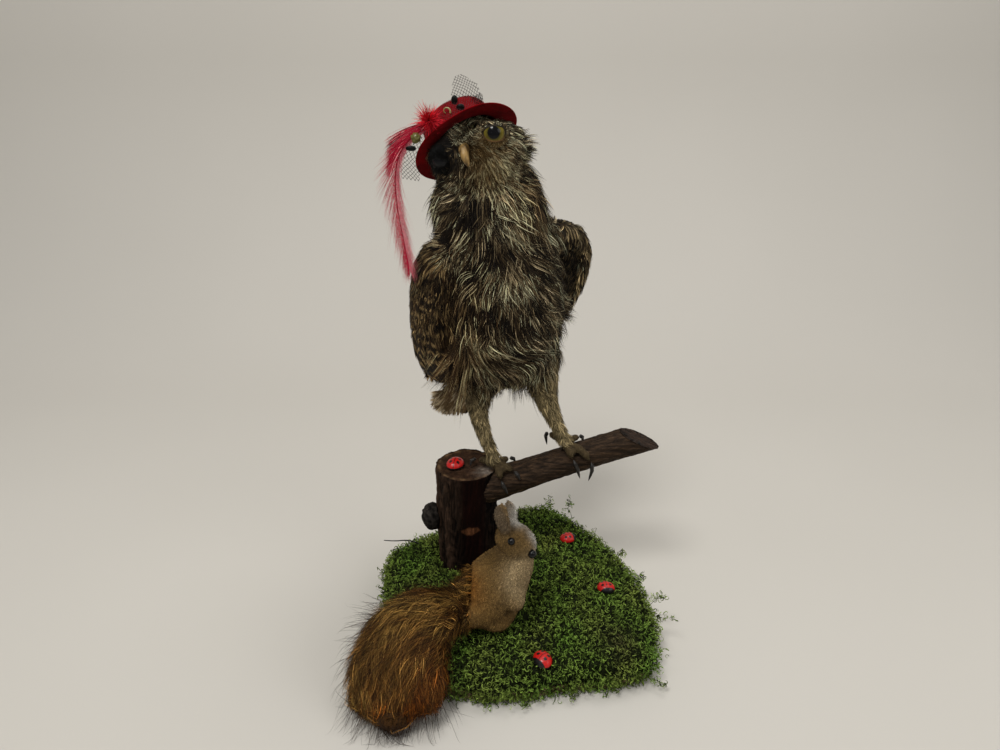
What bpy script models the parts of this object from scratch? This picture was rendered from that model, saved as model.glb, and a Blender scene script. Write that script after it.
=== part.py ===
"""A taxidermy little owl in a small red hat, standing on a stump with a side branch. The stump rises from a moss
mound on a board, which a felt squirrel with a fur tail and four ladybirds share. Metres, +Z up. The owl faces -Y,
and the origin is on the underside of the board, under the middle of the mound."""

import math

import bmesh
import bpy
import numpy as np
from mathutils import Euler, Matrix, Vector

MM = 0.001
GAP = 0.3 * MM
# The least half-width of a tube, the share of its width left at a round end, and a short step along it.
THINNEST = 0.2 * MM
END_SHARE = 0.12
NEARBY = 0.002

# The board, the moss on it and the log that stands in the moss.
BOARD_THICK = 6 * MM
BOARD_INSET = 0.93
MOSS_HEIGHT = 27 * MM
STUMP_AXIS = Vector((-45, 26, 0)) * MM
STUMP_RADIUS = 22.5 * MM
STUMP_TOP = 106 * MM
BRANCH_RADIUS = 10.5 * MM

# The owl's own frames: the trunk is turned to its left, and the head to its right, tipped over and raised.
BODY_CENTRE = Vector((-18, 27, 200)) * MM
BODY_TURN, BODY_LEAN = 22, -5
HEAD_CENTRE = Vector((-32, 11, 327)) * MM
HEAD_TURN, HEAD_TIP, HEAD_RAISE = -13, -27, -8
EYE_RADIUS = 6.5 * MM
BILL_LENGTH = 13 * MM

# The hat sits across the back of the crown.
HAT_CENTRE = Vector((-41, 26, 329.5)) * MM
HAT_TIP, HAT_BACK = -34.9, -34.5
BRIM_RADIUS = 33.3 * MM
CROWN_RADIUS = 22 * MM
CROWN_HEIGHT = 20 * MM
FELT_THICK = 1.2 * MM

COLOURS = {
    "feathers": ((0.17, 0.12, 0.07), 0.85),
    "pale_feathers": ((0.33, 0.27, 0.17), 0.85),
    "bill": ((0.62, 0.45, 0.20), 0.35),
    "eye": ((0.42, 0.40, 0.08), 0.08),
    "toe": ((0.10, 0.08, 0.05), 0.7),
    "claw": ((0.03, 0.02, 0.015), 0.3),
    "red_felt": ((0.50, 0.01, 0.02), 0.9),
    "red_feather": ((0.62, 0.02, 0.06), 0.8),
    "black_net": ((0.02, 0.02, 0.02), 0.8),
    "gold_bud": ((0.30, 0.24, 0.05), 0.4),
    "bark": ((0.09, 0.05, 0.035), 0.8),
    "board": ((0.35, 0.25, 0.15), 0.8),
    "moss": ((0.13, 0.24, 0.04), 0.95),
    "squirrel_felt": ((0.42, 0.29, 0.17), 0.95),
    "ladybird": ((0.70, 0.02, 0.02), 0.3),
}


def mm(x, y, z):
    return Vector((x, y, z)) * MM


def frame(centre, turn=0, tip=0, raise_=0):
    """A frame turned about Z, then tipped about its own Y, then raised about its own X, in degrees."""
    spin = Matrix.Rotation(math.radians(turn), 4, "Z")
    roll = Matrix.Rotation(math.radians(tip), 4, "Y")
    pitch = Matrix.Rotation(math.radians(raise_), 4, "X")
    return Matrix.Translation(centre) @ spin @ roll @ pitch


BODY = frame(BODY_CENTRE, BODY_TURN, BODY_LEAN)
HEAD = frame(HEAD_CENTRE, HEAD_TURN, HEAD_TIP, HEAD_RAISE)
HAT = frame(HAT_CENTRE, 0, HAT_TIP, HAT_BACK)


def material(name):
    found = bpy.data.materials.get(name)
    if found:
        return found
    colour, roughness = COLOURS[name]
    made = bpy.data.materials.new(name)
    made.use_nodes = True
    surface = made.node_tree.nodes["Principled BSDF"]
    surface.inputs["Base Color"].default_value = (*colour, 1)
    surface.inputs["Roughness"].default_value = roughness
    surface.inputs["Metallic"].default_value = 0.0
    return made


def add_mesh(name, points, faces, finish):
    """A closed mesh object with its faces pointing out."""
    mesh = bpy.data.meshes.new(name)
    mesh.from_pydata([tuple(p) for p in points], [], faces)
    work = bmesh.new()
    work.from_mesh(mesh)
    bmesh.ops.recalc_face_normals(work, faces=work.faces)
    work.to_mesh(mesh)
    work.free()
    mesh.shade_smooth()
    mesh.set_sharp_from_angle(angle=math.radians(50))
    mesh.materials.append(material(finish))
    obj = bpy.data.objects.new(name, mesh)
    bpy.context.scene.collection.objects.link(obj)
    return obj


def helper(obj):
    obj.hide_render = True
    obj.display_type = "WIRE"
    return obj


def boolean(obj, operation, *others):
    for other in others:
        step = obj.modifiers.new(operation.lower(), "BOOLEAN")
        step.operation = operation
        step.solver = "EXACT"
        step.object = helper(other)
    return obj


def cut(obj, *cutters):
    return boolean(obj, "DIFFERENCE", *cutters)


def join(obj, *others):
    return boolean(obj, "UNION", *others)


def smooth(rows, steps):
    """Catmull-Rom through rows of numbers, at each step from 0, the first row, to 1, the last."""
    rows = np.array(rows, float)
    rows = np.vstack([2 * rows[0] - rows[1], rows, 2 * rows[-1] - rows[-2]])
    spans = len(rows) - 3
    out = []
    for step in steps:
        k = min(int(step * spans), spans - 1)
        t = step * spans - k
        a, b, c, d = rows[k : k + 4]
        square, cube = 2 * a - 5 * b + 4 * c - d, 3 * b - a - 3 * c + d
        out.append(0.5 * (2 * b + (c - a) * t + square * t**2 + cube * t**3))
    return np.array(out)


def spaced(start, end, count):
    """Numbers from start to end that lie closer together near both of them."""
    even = np.linspace(0, 1, count)
    return start + (end - start) * (even * 0.55 + (1 - np.cos(math.pi * even)) / 2 * 0.45)


def ring_faces(rings, sides):
    faces = []
    for i in range(rings - 1):
        for j in range(sides):
            k = (j + 1) % sides
            faces.append((i * sides + j, i * sides + k, (i + 1) * sides + k, (i + 1) * sides + j))
    return faces


def tube(name, stations, finish, side=(1, 0, 0), sides=20, rings=12, grow=0.0, place=None, ends=(1.0, 1.0)):
    """A smooth tube through stations of (x, y, z, half-width along side, half-depth), all in mm.

    rings is how many rings it has, or their places along it from 0 to 1: an end short of 0 or 1 is left flat.
    ends says how round each of the other ends is, as a share of its half-width."""
    steps = spaced(0, 1, rings) if isinstance(rings, int) else rings
    rows = smooth(stations, steps) * MM
    centres, halves = rows[:, :3], np.maximum(rows[:, 3:5], THINNEST)
    tangents = smooth(stations, steps + NEARBY)[:, :3] - smooth(stations, steps - NEARBY)[:, :3]
    tangents /= np.linalg.norm(tangents, axis=1)[:, None]
    along = np.concatenate([[0], np.cumsum(np.linalg.norm(np.diff(centres, axis=0), axis=1))])
    shrink = np.ones(len(rows))
    for end, flat, distance in ((0, steps[0] > 0, along), (1, steps[-1] < 1, along[-1] - along)):
        reach = ends[end] * halves[-end].mean()
        if reach > 0 and not flat:
            x = np.clip(1 - distance / reach, 0, 1)
            shrink = np.minimum(shrink, np.sqrt(1 - x**2))
    shrink = np.maximum(shrink, END_SHARE)
    centres = centres.copy()
    centres[0] -= tangents[0] * grow
    centres[-1] += tangents[-1] * grow
    points = []
    for centre, half, tangent, share in zip(centres, halves, tangents, shrink):
        across = np.array(side, float)
        across -= tangent * (across @ tangent)
        across /= np.linalg.norm(across)
        deep = np.cross(tangent, across)
        wide, thick = half * share + grow
        for j in range(sides):
            angle = 2 * math.pi * j / sides
            points.append(centre + across * math.cos(angle) * wide + deep * math.sin(angle) * thick)
    faces = ring_faces(len(rows), sides)
    faces += [tuple(range(sides)), tuple(range(len(points) - sides, len(points)))]
    obj = add_mesh(name, points, faces, finish)
    if place is not None:
        obj.data.transform(place)
    return obj


def blade(name, sections, finish, columns=7, rings=12, place=None, grow=0.0):
    """A curved plate through sections of (leading x, y, z, trailing x, y, z, bulge, thickness), in mm.

    It bulges away from the Z axis of its frame, and is thickest near its leading edge."""
    rows = smooth(sections, np.linspace(0, 1, rings)) * MM
    points = []
    for row in rows:
        lead, trail, bulge, thick = row[:3], row[3:6], row[6], row[7]
        chord = trail - lead
        out = np.cross(chord, (0, 0, 1))
        middle = (lead + trail) / 2
        out *= math.copysign(1, out @ np.array((middle[0], middle[1], 0))) / np.linalg.norm(out)
        loop = []
        for face in (1, -1):
            shares = np.linspace(0, 1, columns)
            if face < 0:
                shares = shares[::-1]
            for s in shares:
                wall = thick * (0.35 + 0.65 * math.sin(math.pi * min(1, (s + 0.12) / 1.12) ** 0.6))
                mean = lead + chord * s + out * bulge * 4 * s * (1 - s)
                loop.append(mean + out * face * (wall / 2 + grow))
        points += loop
    sides = 2 * columns
    faces = ring_faces(rings, sides)
    faces += [tuple(range(sides)), tuple(range((rings - 1) * sides, rings * sides))]
    obj = add_mesh(name, points, faces, finish)
    if place is not None:
        obj.data.transform(place)
    return obj


def ball(name, centre, radii, finish, segments=16, rings=10, place=None):
    """An ellipsoid with its poles along Z, with centre and radii in mm."""
    mesh = bpy.data.meshes.new(name)
    work = bmesh.new()
    bmesh.ops.create_uvsphere(work, u_segments=segments, v_segments=rings, radius=1)
    size = Matrix.Diagonal((*(r * MM for r in radii), 1))
    bmesh.ops.transform(work, matrix=Matrix.Translation(mm(*centre)) @ size, verts=work.verts)
    work.to_mesh(mesh)
    work.free()
    mesh.shade_smooth()
    mesh.materials.append(material(finish))
    obj = bpy.data.objects.new(name, mesh)
    bpy.context.scene.collection.objects.link(obj)
    if place is not None:
        mesh.transform(place)
    return obj


# ---- the owl -------------------------------------------------------------------------------------------------

# Trunk and neck in the body frame, from the vent to inside the head: centre x, y, z, half-width and half-depth.
TORSO = (
    (0, 15, -41, 21, 18),
    (1, 10, -26, 31, 28),
    (2, 4, 4, 38.5, 36),
    (2.5, -1, 38, 39, 37),
    (0, -3, 66, 36, 34),
    (-4, -3, 92, 35.6, 32),
    (-10, 1, 120, 31.5, 29),
)
TRUNK_RINGS = spaced(0, 0.72, 11)
NECK_RINGS = spaced(0.724, 1, 7)

# The head in its own frame, from chin to crown.
SKULL = (
    (-1, 2, -27, 21, 19),
    (-2, 1, -13, 28.5, 25.5),
    (-2.5, 0, 1, 29, 27.5),
    (-2, 1, 14, 27, 26),
    (0, 3, 26, 17, 17),
)
SKULL_UNDER_HAT = 19.5
# The forehead slopes back from this point, just over the eyes, up to the hat. BROW_OUT points out of it.
BROW = Vector((-48, 8.3, 340)) * MM
BROW_OUT = Vector((-0.46, -0.27, 0.845))
EYE_ACROSS, EYE_FORWARD, EYE_UP = 16.5, -19.5, 3
DISC_RADIUS, DISC_DEPTH = 21, 3.2

# A folded wing in the body frame: leading edge, trailing edge, bulge, thickness. The right one is mirrored.
WING_RIGHT = (
    (36, -13, 78, 42, 10, 75, 3, 8),
    (38.5, -17, 62, 44, 26, 58, 6, 12),
    (40, -13, 42, 45, 38, 37, 7, 12),
    (40.5, -3, 16, 44, 49, 10, 9, 10),
    (39.5, 12, -12, 38, 57, -14, 11.5, 7),
    (36, 29, -31, 34, 60, -33, 8, 4),
    (31, 42, -39, 29, 57, -42, 3, 2),
)
WING_LEFT = (
    (44, -9, 74, 44, 8, 72, 3, 8),
    (57, -10, 61, 48, 26, 56, 6, 10),
    (58, -7, 42, 48, 38, 36, 8, 10),
    (53, 0, 20, 44, 48, 12, 10, 8),
    (42, 15, -8, 37, 56, -12, 10, 6),
    (36, 31, -28, 33, 60, -31, 7, 4),
    (31, 42, -39, 29, 57, -42, 3, 2),
)
# The upper arm, from inside the shoulder to the wrist.
ARM_RIGHT = ((16, 0, 62, 12, 14), (32, -4, 68, 10, 12), (40, -4, 68, 7, 10), (43, -3, 58, 4, 7))
ARM_LEFT = ((16, 0, 62, 12, 14), (37, -2, 67, 11, 11), (50, -5, 66, 9, 9), (57, -6, 56, 6, 6))

# Each leg in world axes, from inside the trunk down to the ankle.
LEG_RIGHT = (
    (-31, 34, 197, 13, 17),
    (-36, 31, 173, 12.5, 15),
    (-36.5, 26, 154, 7.6, 8.5),
    (-33.3, 21, 138, 5.3, 5.6),
    (-25.8, 18.5, 117.5, 4.3, 4.6),
)
LEG_LEFT = (
    (2, 32, 205, 15, 17),
    (7, 28, 183, 12, 14),
    (10.5, 23.5, 161, 8, 9),
    (17, 20, 145, 5.4, 5.6),
    (23.4, 18, 132, 4.5, 4.8),
)

# Each toe in world axes: points along it to its end, then its claw's tip.
TOE_RADIUS = 2.7
CLAW_RADIUS = 1.6
FOOT_RIGHT = {
    "sole": (-24, 18, 111),
    "inner": (((-22.3, 12.5, 110.3), (-20.3, 8.2, 104.5)), (-15.6, 5.2, 94)),
    "middle": (((-18.5, 15.5, 112.2), (-12, 10.3, 110.5)), (-7.4, 6.3, 104.5)),
    "outer": (((-20, 23, 111.5), (-14.5, 28.5, 109.5)), (-10, 33, 103.5)),
    "hind": (((-30, 21.5, 112), (-37, 23, 112.3)), (-42, 19.5, 108.2)),
}
FOOT_LEFT = {
    "sole": (25.2, 18, 127.6),
    "inner": (((26.2, 11.5, 126.8), (29.2, 7.6, 121.8)), (34.7, 5.6, 106.6)),
    "middle": (((33.5, 11.5, 128.2), (41.4, 6.3, 120.6)), (40.2, 4.6, 105.6)),
    "outer": (((30, 23, 129), (35, 28, 128)), (38.5, 33.5, 120)),
    "hind": (((19, 24, 129.8), (13.6, 30, 129.6)), (13.2, 35.5, 116.5)),
}

# The tail in the body frame, pushed over to the bird's right.
TAIL = (
    (-14, 22, -14, 12, 24, -18, 2, 6),
    (-24, 36, -36, 6, 38, -40, 3, 5),
    (-40, 52, -56, -8, 46, -60, 3, 3),
    (-33, 54, -72, -16, 50, -76, 2, 2),
)


def torso(name, rings, grow=0.0):
    return tube(name, TORSO, "feathers", rings=rings, grow=grow, place=BODY, ends=(0.9, 0.35))


def torso_room(name):
    """The trunk and the neck in one, a little bigger all round."""
    return torso(name + "_torso_room", np.concatenate([TRUNK_RINGS, NECK_RINGS]), GAP)


def skull(name, grow=0.0):
    """The head's ball. Above the brim of the hat it is pressed in, to fit the hat's crown."""
    ball_of_head = tube(name, SKULL, "feathers", rings=10, grow=grow, place=HEAD, ends=(0.9, 0.9))
    inner = SKULL_UNDER_HAT + grow / MM
    floor = 0.3 + FELT_THICK / MM - grow / MM
    beside_crown = [(inner, -floor), (60, -floor), (60, 40), (inner, 40)]
    collar = turned(name + "_collar", beside_crown, "red_felt", 24, HAT)
    slope = BROW_OUT.to_track_quat("Z", "Y").to_matrix().to_4x4()
    above_brow = add_mesh(name + "_above_brow", *box_mesh(90, 90, 60), "red_felt")
    above_brow.data.transform(Matrix.Translation(BROW) @ slope @ Matrix.Translation((0, 0, 30 * MM + grow)))
    inside_crown = [(0, -5), (inner, -5), (inner, 40), (0, 40)]
    cut(above_brow, turned(name + "_crown", inside_crown, "red_felt", 24, HAT))
    return cut(ball_of_head, collar, above_brow)


def make_head():
    """The skull with a shallow dish for each side of the face, a socket for each eye and a seat for the bill."""
    head = skull("head")
    for side, name in ((1, "left"), (-1, "right")):
        out = mm(side * EYE_ACROSS, EYE_FORWARD, EYE_UP)
        look = out.normalized()
        dish_centre = (out * 1.08 + look * (DISC_RADIUS - DISC_DEPTH) * MM) / MM
        cut(head, ball("dish_" + name, dish_centre, (DISC_RADIUS,) * 3, "feathers", 14, 8, HEAD))
        socket_radius = EYE_RADIUS / MM + 0.45
        cut(head, ball("socket_" + name, out / MM, (socket_radius,) * 3, "feathers", 12, 8, HEAD))
        ball("eye_" + name, out / MM, (EYE_RADIUS / MM,) * 3, "eye", 12, 8, HEAD)
    cut(head, bill("bill_seat", GAP))
    bill("bill", 0)
    return head


def bill(name, grow):
    """A short hooked bill that leaves the face between the eyes and curves down."""
    length = BILL_LENGTH / MM
    root = (-0.7, -21, 3)
    hook = [
        (root[0], root[1], root[2], 3.1, 3.4),
        (root[0], root[1] - 0.42 * length, root[2] - 0.12 * length, 3.0, 3.2),
        (root[0], root[1] - 0.68 * length, root[2] - 0.48 * length, 2.3, 2.6),
        (root[0], root[1] - 0.70 * length, root[2] - 0.90 * length, 0.9, 0.8),
    ]
    return tube(name, hook, "bill", sides=8, rings=8, grow=grow, place=HEAD, ends=(0.3, 0.8))


def make_trunk():
    torso("trunk", TRUNK_RINGS)
    cut(torso("neck", NECK_RINGS), skull("head_room", GAP))


def mirrored(rows, columns):
    """The same rows with the named columns negated."""
    return [tuple(-v if i in columns else v for i, v in enumerate(row)) for row in rows]


def make_wing(name, sections, arm, side):
    if side < 0:
        sections, arm = mirrored(sections, (0, 3)), mirrored(arm, (0,))
    wing = blade(name, sections, "feathers", columns=7, rings=12, place=BODY)
    upper = tube(name + "_arm", arm, "feathers", side=(0, 1, 0), sides=10, rings=7, place=BODY, ends=(0.3, 1))
    join(wing, upper)
    return cut(wing, torso_room(name))


def make_leg(name, stations):
    leg = leg_tube(name, stations)
    return cut(leg, torso_room(name), limb(name + "_branch_room", GAP))


def leg_tube(name, stations, grow=0.0):
    return tube(name, stations, "pale_feathers", sides=12, rings=10, grow=grow, ends=(0.2, 0))


def make_foot(name, toes, leg):
    """The ankle and sole below the leg, with four toes joined to them, and a separate claw on each toe."""
    sole = Vector(toes["sole"])
    ankle = Vector(leg[-1][:3])
    down = (sole - ankle).normalized()
    start = ankle + down * (GAP / MM)
    stem = [(*start, *leg[-1][3:]), (*start.lerp(sole, 0.5), 4.1, 4.1), (*(sole + down * 2.6), 3.4, 3.4)]
    foot = tube(name, stem, "toe", sides=10, rings=5, ends=(0, 0.8))
    for toe, (line, claw_tip) in ((k, v) for k, v in toes.items() if k != "sole"):
        stations = [(*sole, 2.6, 2.6), *((*p, TOE_RADIUS, TOE_RADIUS) for p in line)]
        join(foot, toe_tube(f"{name}_{toe}", stations))
        make_claw(f"claw_{name[5:]}_{toe}", stations, Vector(claw_tip))
    wood = limb(name + "_branch_room", GAP), log(name + "_stump_room", GAP)
    return cut(foot, *wood, leg_tube(name + "_leg_room", leg, GAP))


def toe_tube(name, stations, grow=0.0):
    return tube(name, stations, "toe", side=(0.31, 0.9, 0.3), sides=6, rings=5, grow=grow, ends=(0.5, 1))


def make_claw(name, toe, claw_tip):
    """A claw that leaves the end of its toe straight ahead and hooks down to its tip."""
    end, before = Vector(toe[-1][:3]), Vector(toe[-2][:3])
    reach = (end - before).normalized()
    start = end + reach * 0.8
    bend = start.lerp(claw_tip, 0.4) + (reach + Vector((0, 0, 0.5))) * 1.9
    hook = [(*p, r, r) for p, r in ((start, CLAW_RADIUS), (bend, CLAW_RADIUS * 0.85), (claw_tip, 0.35))]
    claw = tube(name, hook, "claw", side=(0.31, 0.9, 0.3), sides=6, rings=5, ends=(0.4, 0.8))
    return cut(claw, toe_tube(name + "_room", toe, GAP))


def make_tail():
    tail = blade("tail", TAIL, "feathers", columns=6, rings=8, place=BODY)
    return cut(tail, torso_room("tail"))


# ---- the hat -------------------------------------------------------------------------------------------------


def turned(name, profile, finish, segments, place, grow=0.0):
    """A closed profile of (radius, height) pairs in mm, turned about Z. A radius of 0 is a pole."""
    points, rows = [], []
    for radius, height in profile:
        if radius <= 0:
            rows.append([len(points)])
            points.append(mm(0, 0, height))
            continue
        rows.append(list(range(len(points), len(points) + segments)))
        for j in range(segments):
            angle = 2 * math.pi * j / segments
            points.append(mm(radius * math.cos(angle), radius * math.sin(angle), height))
    faces = []
    for low, high in zip(rows, rows[1:] + rows[:1]):
        for j in range(segments):
            k = (j + 1) % segments
            corners = [low[j % len(low)], low[k % len(low)], high[k % len(high)], high[j % len(high)]]
            corners = list(dict.fromkeys(corners))
            if len(corners) > 2:
                faces.append(tuple(corners))
    obj = add_mesh(name, points, faces, finish)
    obj.data.transform(place)
    return obj


def make_hat():
    """A felt hat with a round crown and a brim whose rim turns down a little, hollowed by the head."""
    felt = FELT_THICK / MM
    brim, crown, high = BRIM_RADIUS / MM, CROWN_RADIUS / MM, CROWN_HEIGHT / MM
    outside = [(0, high), (crown * 0.72, high - 0.6), (crown * 0.95, high - 4), (crown, 3.0), (crown + 2, 1.6)]
    outside += [(brim - 5, 1.4), (brim - 1, 0.5)]
    inside = [(brim, -0.1), (brim - 0.8, -0.6), (brim - 5, 1.4 - felt), (crown - felt, 1.4 - felt)]
    inside += [(crown - felt, high - 5), (crown * 0.68, high - felt - 0.6), (0, high - felt)]
    hat = turned("hat", outside + inside, "red_felt", 26, HAT)
    return cut(hat, skull("hat_head_room", GAP), torso_room("hat"))


# Each feather's stations, with its half-thickness before its half-width.
PLUME = (
    (-62, 7, 339.5, 1.2, 2),
    (-73, 4, 333, 1.2, 4.5),
    (-79.5, 1, 319, 1.2, 8),
    (-79, -2, 298, 1.2, 7),
    (-75.5, -5, 276, 1.1, 4.5),
    (-73, -8, 257, 0.8, 1.2),
)
SIDE_FEATHER = (
    (-62, 10, 342, 1.1, 2),
    (-72, 10, 339.5, 1.1, 3.2),
    (-80, 9.5, 336, 1.0, 3.6),
    (-87, 9, 332, 0.8, 1.6),
)
VEIL_TOP = (
    (-40.8, 24, 352, 0.35, 8),
    (-41.8, 24, 361.5, 0.35, 7),
    (-43.6, 24, 368, 0.35, 2),
)
VEIL_SIDE = (
    (-70.5, 16, 333, 0.35, 3),
    (-74.5, 14.5, 322, 0.35, 5.5),
    (-73.5, 13, 310, 0.35, 4.5),
)
TUFT = (-61, 7, 344)
TUFT_RADIUS = 5.6
BUD = (-68.6, 4, 335)
BUD_RADIUS = 3.2


def make_trimmings():
    """The long plume and the shorter feather, the marabou tuft that they leave, a bud, and two flaps of veil."""
    room = hat_room("hat_room")
    tuft_room = ball("tuft_room", TUFT, (TUFT_RADIUS + 0.3,) * 3, "red_feather", 12, 8)
    bud_room = ball("bud_room", BUD, (BUD_RADIUS + 0.3,) * 3, "gold_bud", 12, 8)
    cut(ball("hat_tuft", TUFT, (TUFT_RADIUS,) * 3, "red_feather", 12, 8), room)
    cut(ball("hat_bud", BUD, (BUD_RADIUS,) * 3, "gold_bud", 10, 7), room, tuft_room)
    cut(flat_feather("hat_plume", PLUME), tuft_room, room, bud_room)
    short = flat_feather("hat_side_feather", SIDE_FEATHER, rings=8)
    cut(short, tuft_room, room, bud_room, flat_feather("plume_room", PLUME, grow=GAP))
    cut(flat_feather("hat_veil_top", VEIL_TOP, rings=5, finish="black_net"), room)
    cut(flat_feather("hat_veil_side", VEIL_SIDE, rings=5, finish="black_net"), room)


def flat_feather(name, stations, rings=12, finish="red_feather", grow=0.0):
    return tube(name, stations, finish, side=(0, 1, 0), sides=8, rings=rings, grow=grow, ends=(0.5, 1))


def hat_room(name):
    """The hat's outside, a little bigger, and solid down to its brim."""
    brim, crown, high = BRIM_RADIUS / MM + 0.35, CROWN_RADIUS / MM + 0.35, CROWN_HEIGHT / MM + 0.35
    profile = [(0, high), (crown * 0.72, high - 0.6), (crown * 0.95, high - 4), (crown, 3.4), (crown + 2, 1.95)]
    profile += [(brim - 5, 1.75), (brim - 0.6, 0.7), (brim, -0.2), (brim - 1, -1), (0, -1)]
    return helper(turned(name, profile, "red_felt", 26, HAT))


# ---- the stand: board, moss, log, and the animals fixed on it ---------------------------------------------------


# The branch, from inside the stump: x, y, z in mm and its share of the branch's radius.
BRANCH = (
    (-47, 21, 84, 1.22),
    (-21, 20.5, 95, 1.16),
    (3, 20, 104.2, 1.05),
    (46, 20, 121, 1),
    (98, 21, 137.5, 1),
)
# Its far end is sawn off aslant, through this point.
SAW_THROUGH = Vector((70, 20, 133.5)) * MM
SAW_SLOPE = math.radians(24)

# Points round the moss's edge, anticlockwise from its right end, in mm.
MOSS_RIM = (
    (86, -18),
    (71, 30),
    (40, 76),
    (8, 97),
    (-40, 76),
    (-86, 54),
    (-108, 34),
    (-107, -4),
    (-98, -46),
    (-76, -80),
    (-30, -96),
    (28, -86),
    (80, -76),
)
MOSS_MIDDLE = Vector((-8, -4, 0)) * MM
STEPS_PER_RIM_POINT = 2


def rim_points():
    """A smooth closed line through the rim's points."""
    ring = [MOSS_RIM[-1], *MOSS_RIM, MOSS_RIM[0], MOSS_RIM[1]]
    steps = len(MOSS_RIM) * STEPS_PER_RIM_POINT
    spans = len(ring) - 1
    rows = smooth(ring, (np.arange(steps) / STEPS_PER_RIM_POINT + 1) / spans)
    return [Vector((x, y, 0)) * MM for x, y in rows]


def outline_solid(name, layers, finish, wider=1.0):
    """A closed solid through layers of (share of the rim, height), from the bottom's middle to the top's."""
    rim = rim_points()
    segments = len(rim)
    points, rows = [], []
    for share, height in layers:
        level = MOSS_MIDDLE + Vector((0, 0, height))
        ring = [level + (p - MOSS_MIDDLE) * share * wider for p in rim] if share else [level]
        rows.append(list(range(len(points), len(points) + len(ring))))
        points += ring
    faces = []
    for low, high in zip(rows, rows[1:]):
        for j in range(segments):
            k = (j + 1) % segments
            corners = [low[j % len(low)], low[k % len(low)], high[k % len(high)], high[j % len(high)]]
            faces.append(tuple(dict.fromkeys(corners)))
    return add_mesh(name, points, faces, finish)


def moss_layers(raised=0.0):
    low, high = BOARD_THICK + GAP - 2 * raised, MOSS_HEIGHT + raised
    sides = [(0.97, low), (1.0, low + 6 * MM), (0.985, high * 0.7), (0.94, high * 0.92), (0.8, high * 1.02)]
    return [(0, low), *sides, (0.4, high * 1.06), (0, high * 1.05)]


def make_base():
    inset = BOARD_INSET
    outline_solid("base_board", [(0, 0), (inset, 0), (inset, BOARD_THICK), (0, BOARD_THICK)], "board")
    return cut(outline_solid("base_moss", moss_layers(), "moss"), log("stump_room", GAP))


def moss_room(name):
    """The moss, a little bigger all round."""
    return helper(outline_solid(name, moss_layers(GAP), "moss", 1.006))


def log(name, grow=0.0):
    """The stump: a log with a flared foot, a few broad flutes and a top sawn almost level."""
    sides, heights = 22, (BOARD_THICK + GAP * 2, 30 * MM, 55 * MM, 82 * MM, STUMP_TOP)
    points = []
    for height in heights:
        flare = 1.03 + 0.04 * (1 - height / STUMP_TOP) + 0.05 * math.exp(-(height - BOARD_THICK) / (16 * MM))
        for j in range(sides):
            angle = 2 * math.pi * j / sides
            flute = 1 + 0.022 * math.cos(5 * angle + 0.7) + 0.015 * math.cos(9 * angle + height / (20 * MM))
            reach = STUMP_RADIUS * flare * flute + grow
            slope = 0.05 * math.sin(angle) * STUMP_RADIUS if height == STUMP_TOP else 0
            points.append(STUMP_AXIS + Vector((reach * math.cos(angle), reach * math.sin(angle), height + slope)))
    for j in range(sides):
        points[j].z -= grow
        points[-1 - j].z += grow
    faces = ring_faces(len(heights), sides)
    faces += [tuple(range(sides)), tuple(range((len(heights) - 1) * sides, len(heights) * sides))]
    return add_mesh(name, points, faces, "bark")


def limb(name, grow=0.0):
    """The side branch, swollen where it leaves the stump."""
    radius = BRANCH_RADIUS / MM
    stations = [(x, y, z, radius * r, radius * r) for x, y, z, r in BRANCH]
    return tube(name, stations, "bark", side=(0, 1, 0), sides=16, rings=10, grow=grow, ends=(0, 0))


def make_log():
    log("stump")
    branch = cut(limb("branch"), log("branch_room", GAP * 1.3))
    saw = add_mesh("saw", *box_mesh(90, 60, 60), "bark")
    slope = Matrix.Rotation(SAW_SLOPE, 4, "Y")
    saw.data.transform(Matrix.Translation(SAW_THROUGH) @ slope @ Matrix.Translation(mm(0, 0, 30)))
    cut(branch, saw)
    knot = ball("stump_knot", (-70.5, 22, 64), (7, 7.5, 9.5), "bark", 12, 9)
    return cut(knot, log("knot_room", GAP))


def box_mesh(x, y, z):
    corners = [mm(i * x / 2, j * y / 2, k * z / 2) for k in (-1, 1) for j in (-1, 1) for i in (-1, 1)]
    return corners, [(0, 2, 3, 1), (4, 5, 7, 6), (0, 1, 5, 4), (2, 6, 7, 3), (0, 4, 6, 2), (1, 3, 7, 5)]


# The squirrel: it faces +X with its chest up, and its tail droops over the mound's edge to the floor.
SQUIRREL_BODY = (
    (-38, -46, 29, 15, 14),
    (-33, -47, 44, 23, 19),
    (-22, -48, 64, 21, 17),
    (-13, -48, 80, 15, 14),
    (-10, -48, 92, 11, 11),
)
SQUIRREL_HEAD = (
    (-24, -47, 92, 9, 9),
    (-15, -47, 95, 13, 12.5),
    (-6, -48, 92, 11, 10.5),
    (1.5, -49, 87, 5.5, 5),
)
SQUIRREL_EARS = (
    ((-17, -53, 101), (-19, -54, 117), (-20, -54, 130)),
    ((-13, -42, 100), (-14, -40, 112), (-16, -39, 122)),
)
SQUIRREL_LIMBS = (
    ((-33, -57, 39, 9, 9), (-24, -58, 38, 8, 7), (-16, -57, 35, 5.5, 5)),
    ((-19, -58, 64, 6, 6), (-13, -60, 56, 5.5, 5), (-8, -58, 54, 4, 3.5)),
)
SQUIRREL_TAIL = (
    (-32, -49, 40, 19, 13),
    (-52, -56, 46, 19, 13),
    (-72, -67, 46, 27, 15),
    (-84, -83, 33, 33, 16),
    (-86, -100, 17, 34, 12),
    (-88, -118, 8, 22, 6),
)


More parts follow.
